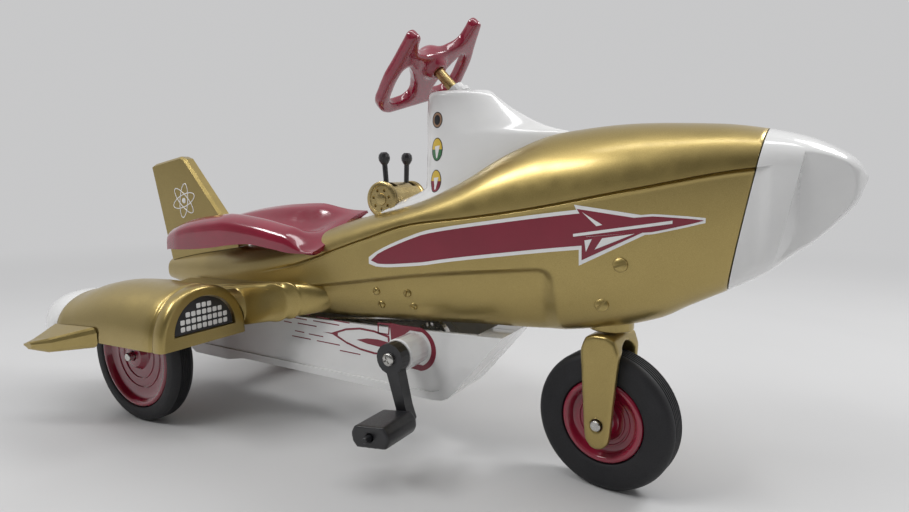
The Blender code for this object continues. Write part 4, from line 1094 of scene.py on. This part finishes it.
def area_light(name, place, target, size, power):
    data = bpy.data.lights.new(name, "AREA")
    data.shape = "RECTANGLE"
    data.size, data.size_y = size
    data.energy = power
    lamp = bpy.data.objects.new(name, data)
    bpy.context.collection.objects.link(lamp)
    lamp.location = place
    aim = Vector(target) - Vector(place)
    lamp.rotation_euler = aim.to_track_quat("-Z", "Y").to_euler()
    return lamp


def make_light():
    """Soft lamps over both shoulders and a studio that is pale behind the car and darker in front of it."""
    world = bpy.data.worlds.new("studio")
    world.use_nodes = True
    tree = world.node_tree
    ray = tree.nodes.new("ShaderNodeTexCoord").outputs["Generated"]
    sky = tree.nodes["Background"].inputs["Color"]
    room = None
    for aim, low, high, tone in (((0.25, -0.96, -0.05), -0.10, 0.62, 0.10),
                                 ((0.0, 0.0, 1.0), 0.45, 0.95, 0.62)):
        dot = tree.nodes.new("ShaderNodeVectorMath")
        dot.operation = "DOT_PRODUCT"
        tree.links.new(ray, dot.inputs[0])
        dot.inputs[1].default_value = aim
        ramp = tree.nodes.new("ShaderNodeMapRange")
        ramp.interpolation_type = "SMOOTHSTEP"
        ramp.inputs["From Min"].default_value = low
        ramp.inputs["From Max"].default_value = high
        tree.links.new(dot.outputs["Value"], ramp.inputs["Value"])
        mix = tree.nodes.new("ShaderNodeMix")
        mix.data_type = "RGBA"
        tree.links.new(ramp.outputs["Result"], mix.inputs[0])
        mix.inputs[6].default_value = (*BACKDROP, 1.0)
        mix.inputs[7].default_value = (tone, tone, tone * 1.02, 1.0)
        if room:
            tree.links.new(room, mix.inputs[6])
        room = mix.outputs[2]
    seen = tree.nodes.new("ShaderNodeMix")
    seen.data_type = "RGBA"
    tree.links.new(tree.nodes.new("ShaderNodeLightPath").outputs["Is Camera Ray"], seen.inputs[0])
    tree.links.new(room, seen.inputs[6])
    seen.inputs[7].default_value = (*BACKDROP, 1.0)
    tree.links.new(seen.outputs[2], sky)
    bpy.context.scene.world = world
    area_light("shoulder_left", (-0.45, -0.55, 0.75), (0, 0, 0.06), (0.45, 0.16), 3.4)
    area_light("shoulder_right", (0.55, 0.45, 0.80), (0, 0, 0.05), (0.30, 0.30), 4.2)
    area_light("overhead", (0.10, -0.15, 0.95), (0, 0, 0.05), (0.9, 0.12), 2.0)
    bpy.context.scene.view_settings.view_transform = "Standard"


make_camera()
make_floor()
make_light()
make_fuselage()
make_nose()
make_cowl()
make_seat()
for way, tag in SIDES:
    side_decal(way, tag)
    gauges(way, tag)
    make_pod(way, tag)
    make_wing(way, tag)
    make_belly_decals(way, tag)
    make_fin_motif(way, tag)
    make_wheel("rear_" + tag, 32.5, 25.2, 5.5, 6.6, wheel_place(-113.4, way * 50.2, 32.5, 0.0, way),
               ("rear_axle_set", "rear_wheel_left")[way > 0], ("rear_tyre_" + tag, "rear_rim_" + tag))
    place = facing(way, 21.6, 32.6, 45.9)
    screw_head("crank_screw_cross_" + tag, place, 2.6, 1.2, "bright_steel", "crank", True, 30.0,
               ("crank_screw_" + tag,))
make_wheel("front", 27.0, 16.0, 6.5, 5.0, wheel_place(101.0, 0.0, 27.0, -7.3), "front_wheel",
           ("front_tyre", "front_rim"))
make_screws()
make_drum_ends()
melted("steering_wheel", "steering_yoke", "crimson_enamel", 0.42, 55)
melted("front_fork", "fork_cast", "gold_paint", 0.45, 26)
for tag in ("right", "left"):
    melted("pedal_" + tag, "pedal_block_" + tag, "black_satin", 0.42, 14)
edge_bevel(0.9, "belly_housing_right", "belly_housing_left", "winglet_right", "winglet_left")
edge_bevel(1.0, "crank_arm_right", "crank_arm_left")
edge_bevel(0.35, "front_axle", "pedal_pin_right", "pedal_pin_left", "column_collar", "control_drum")
dress_frame()
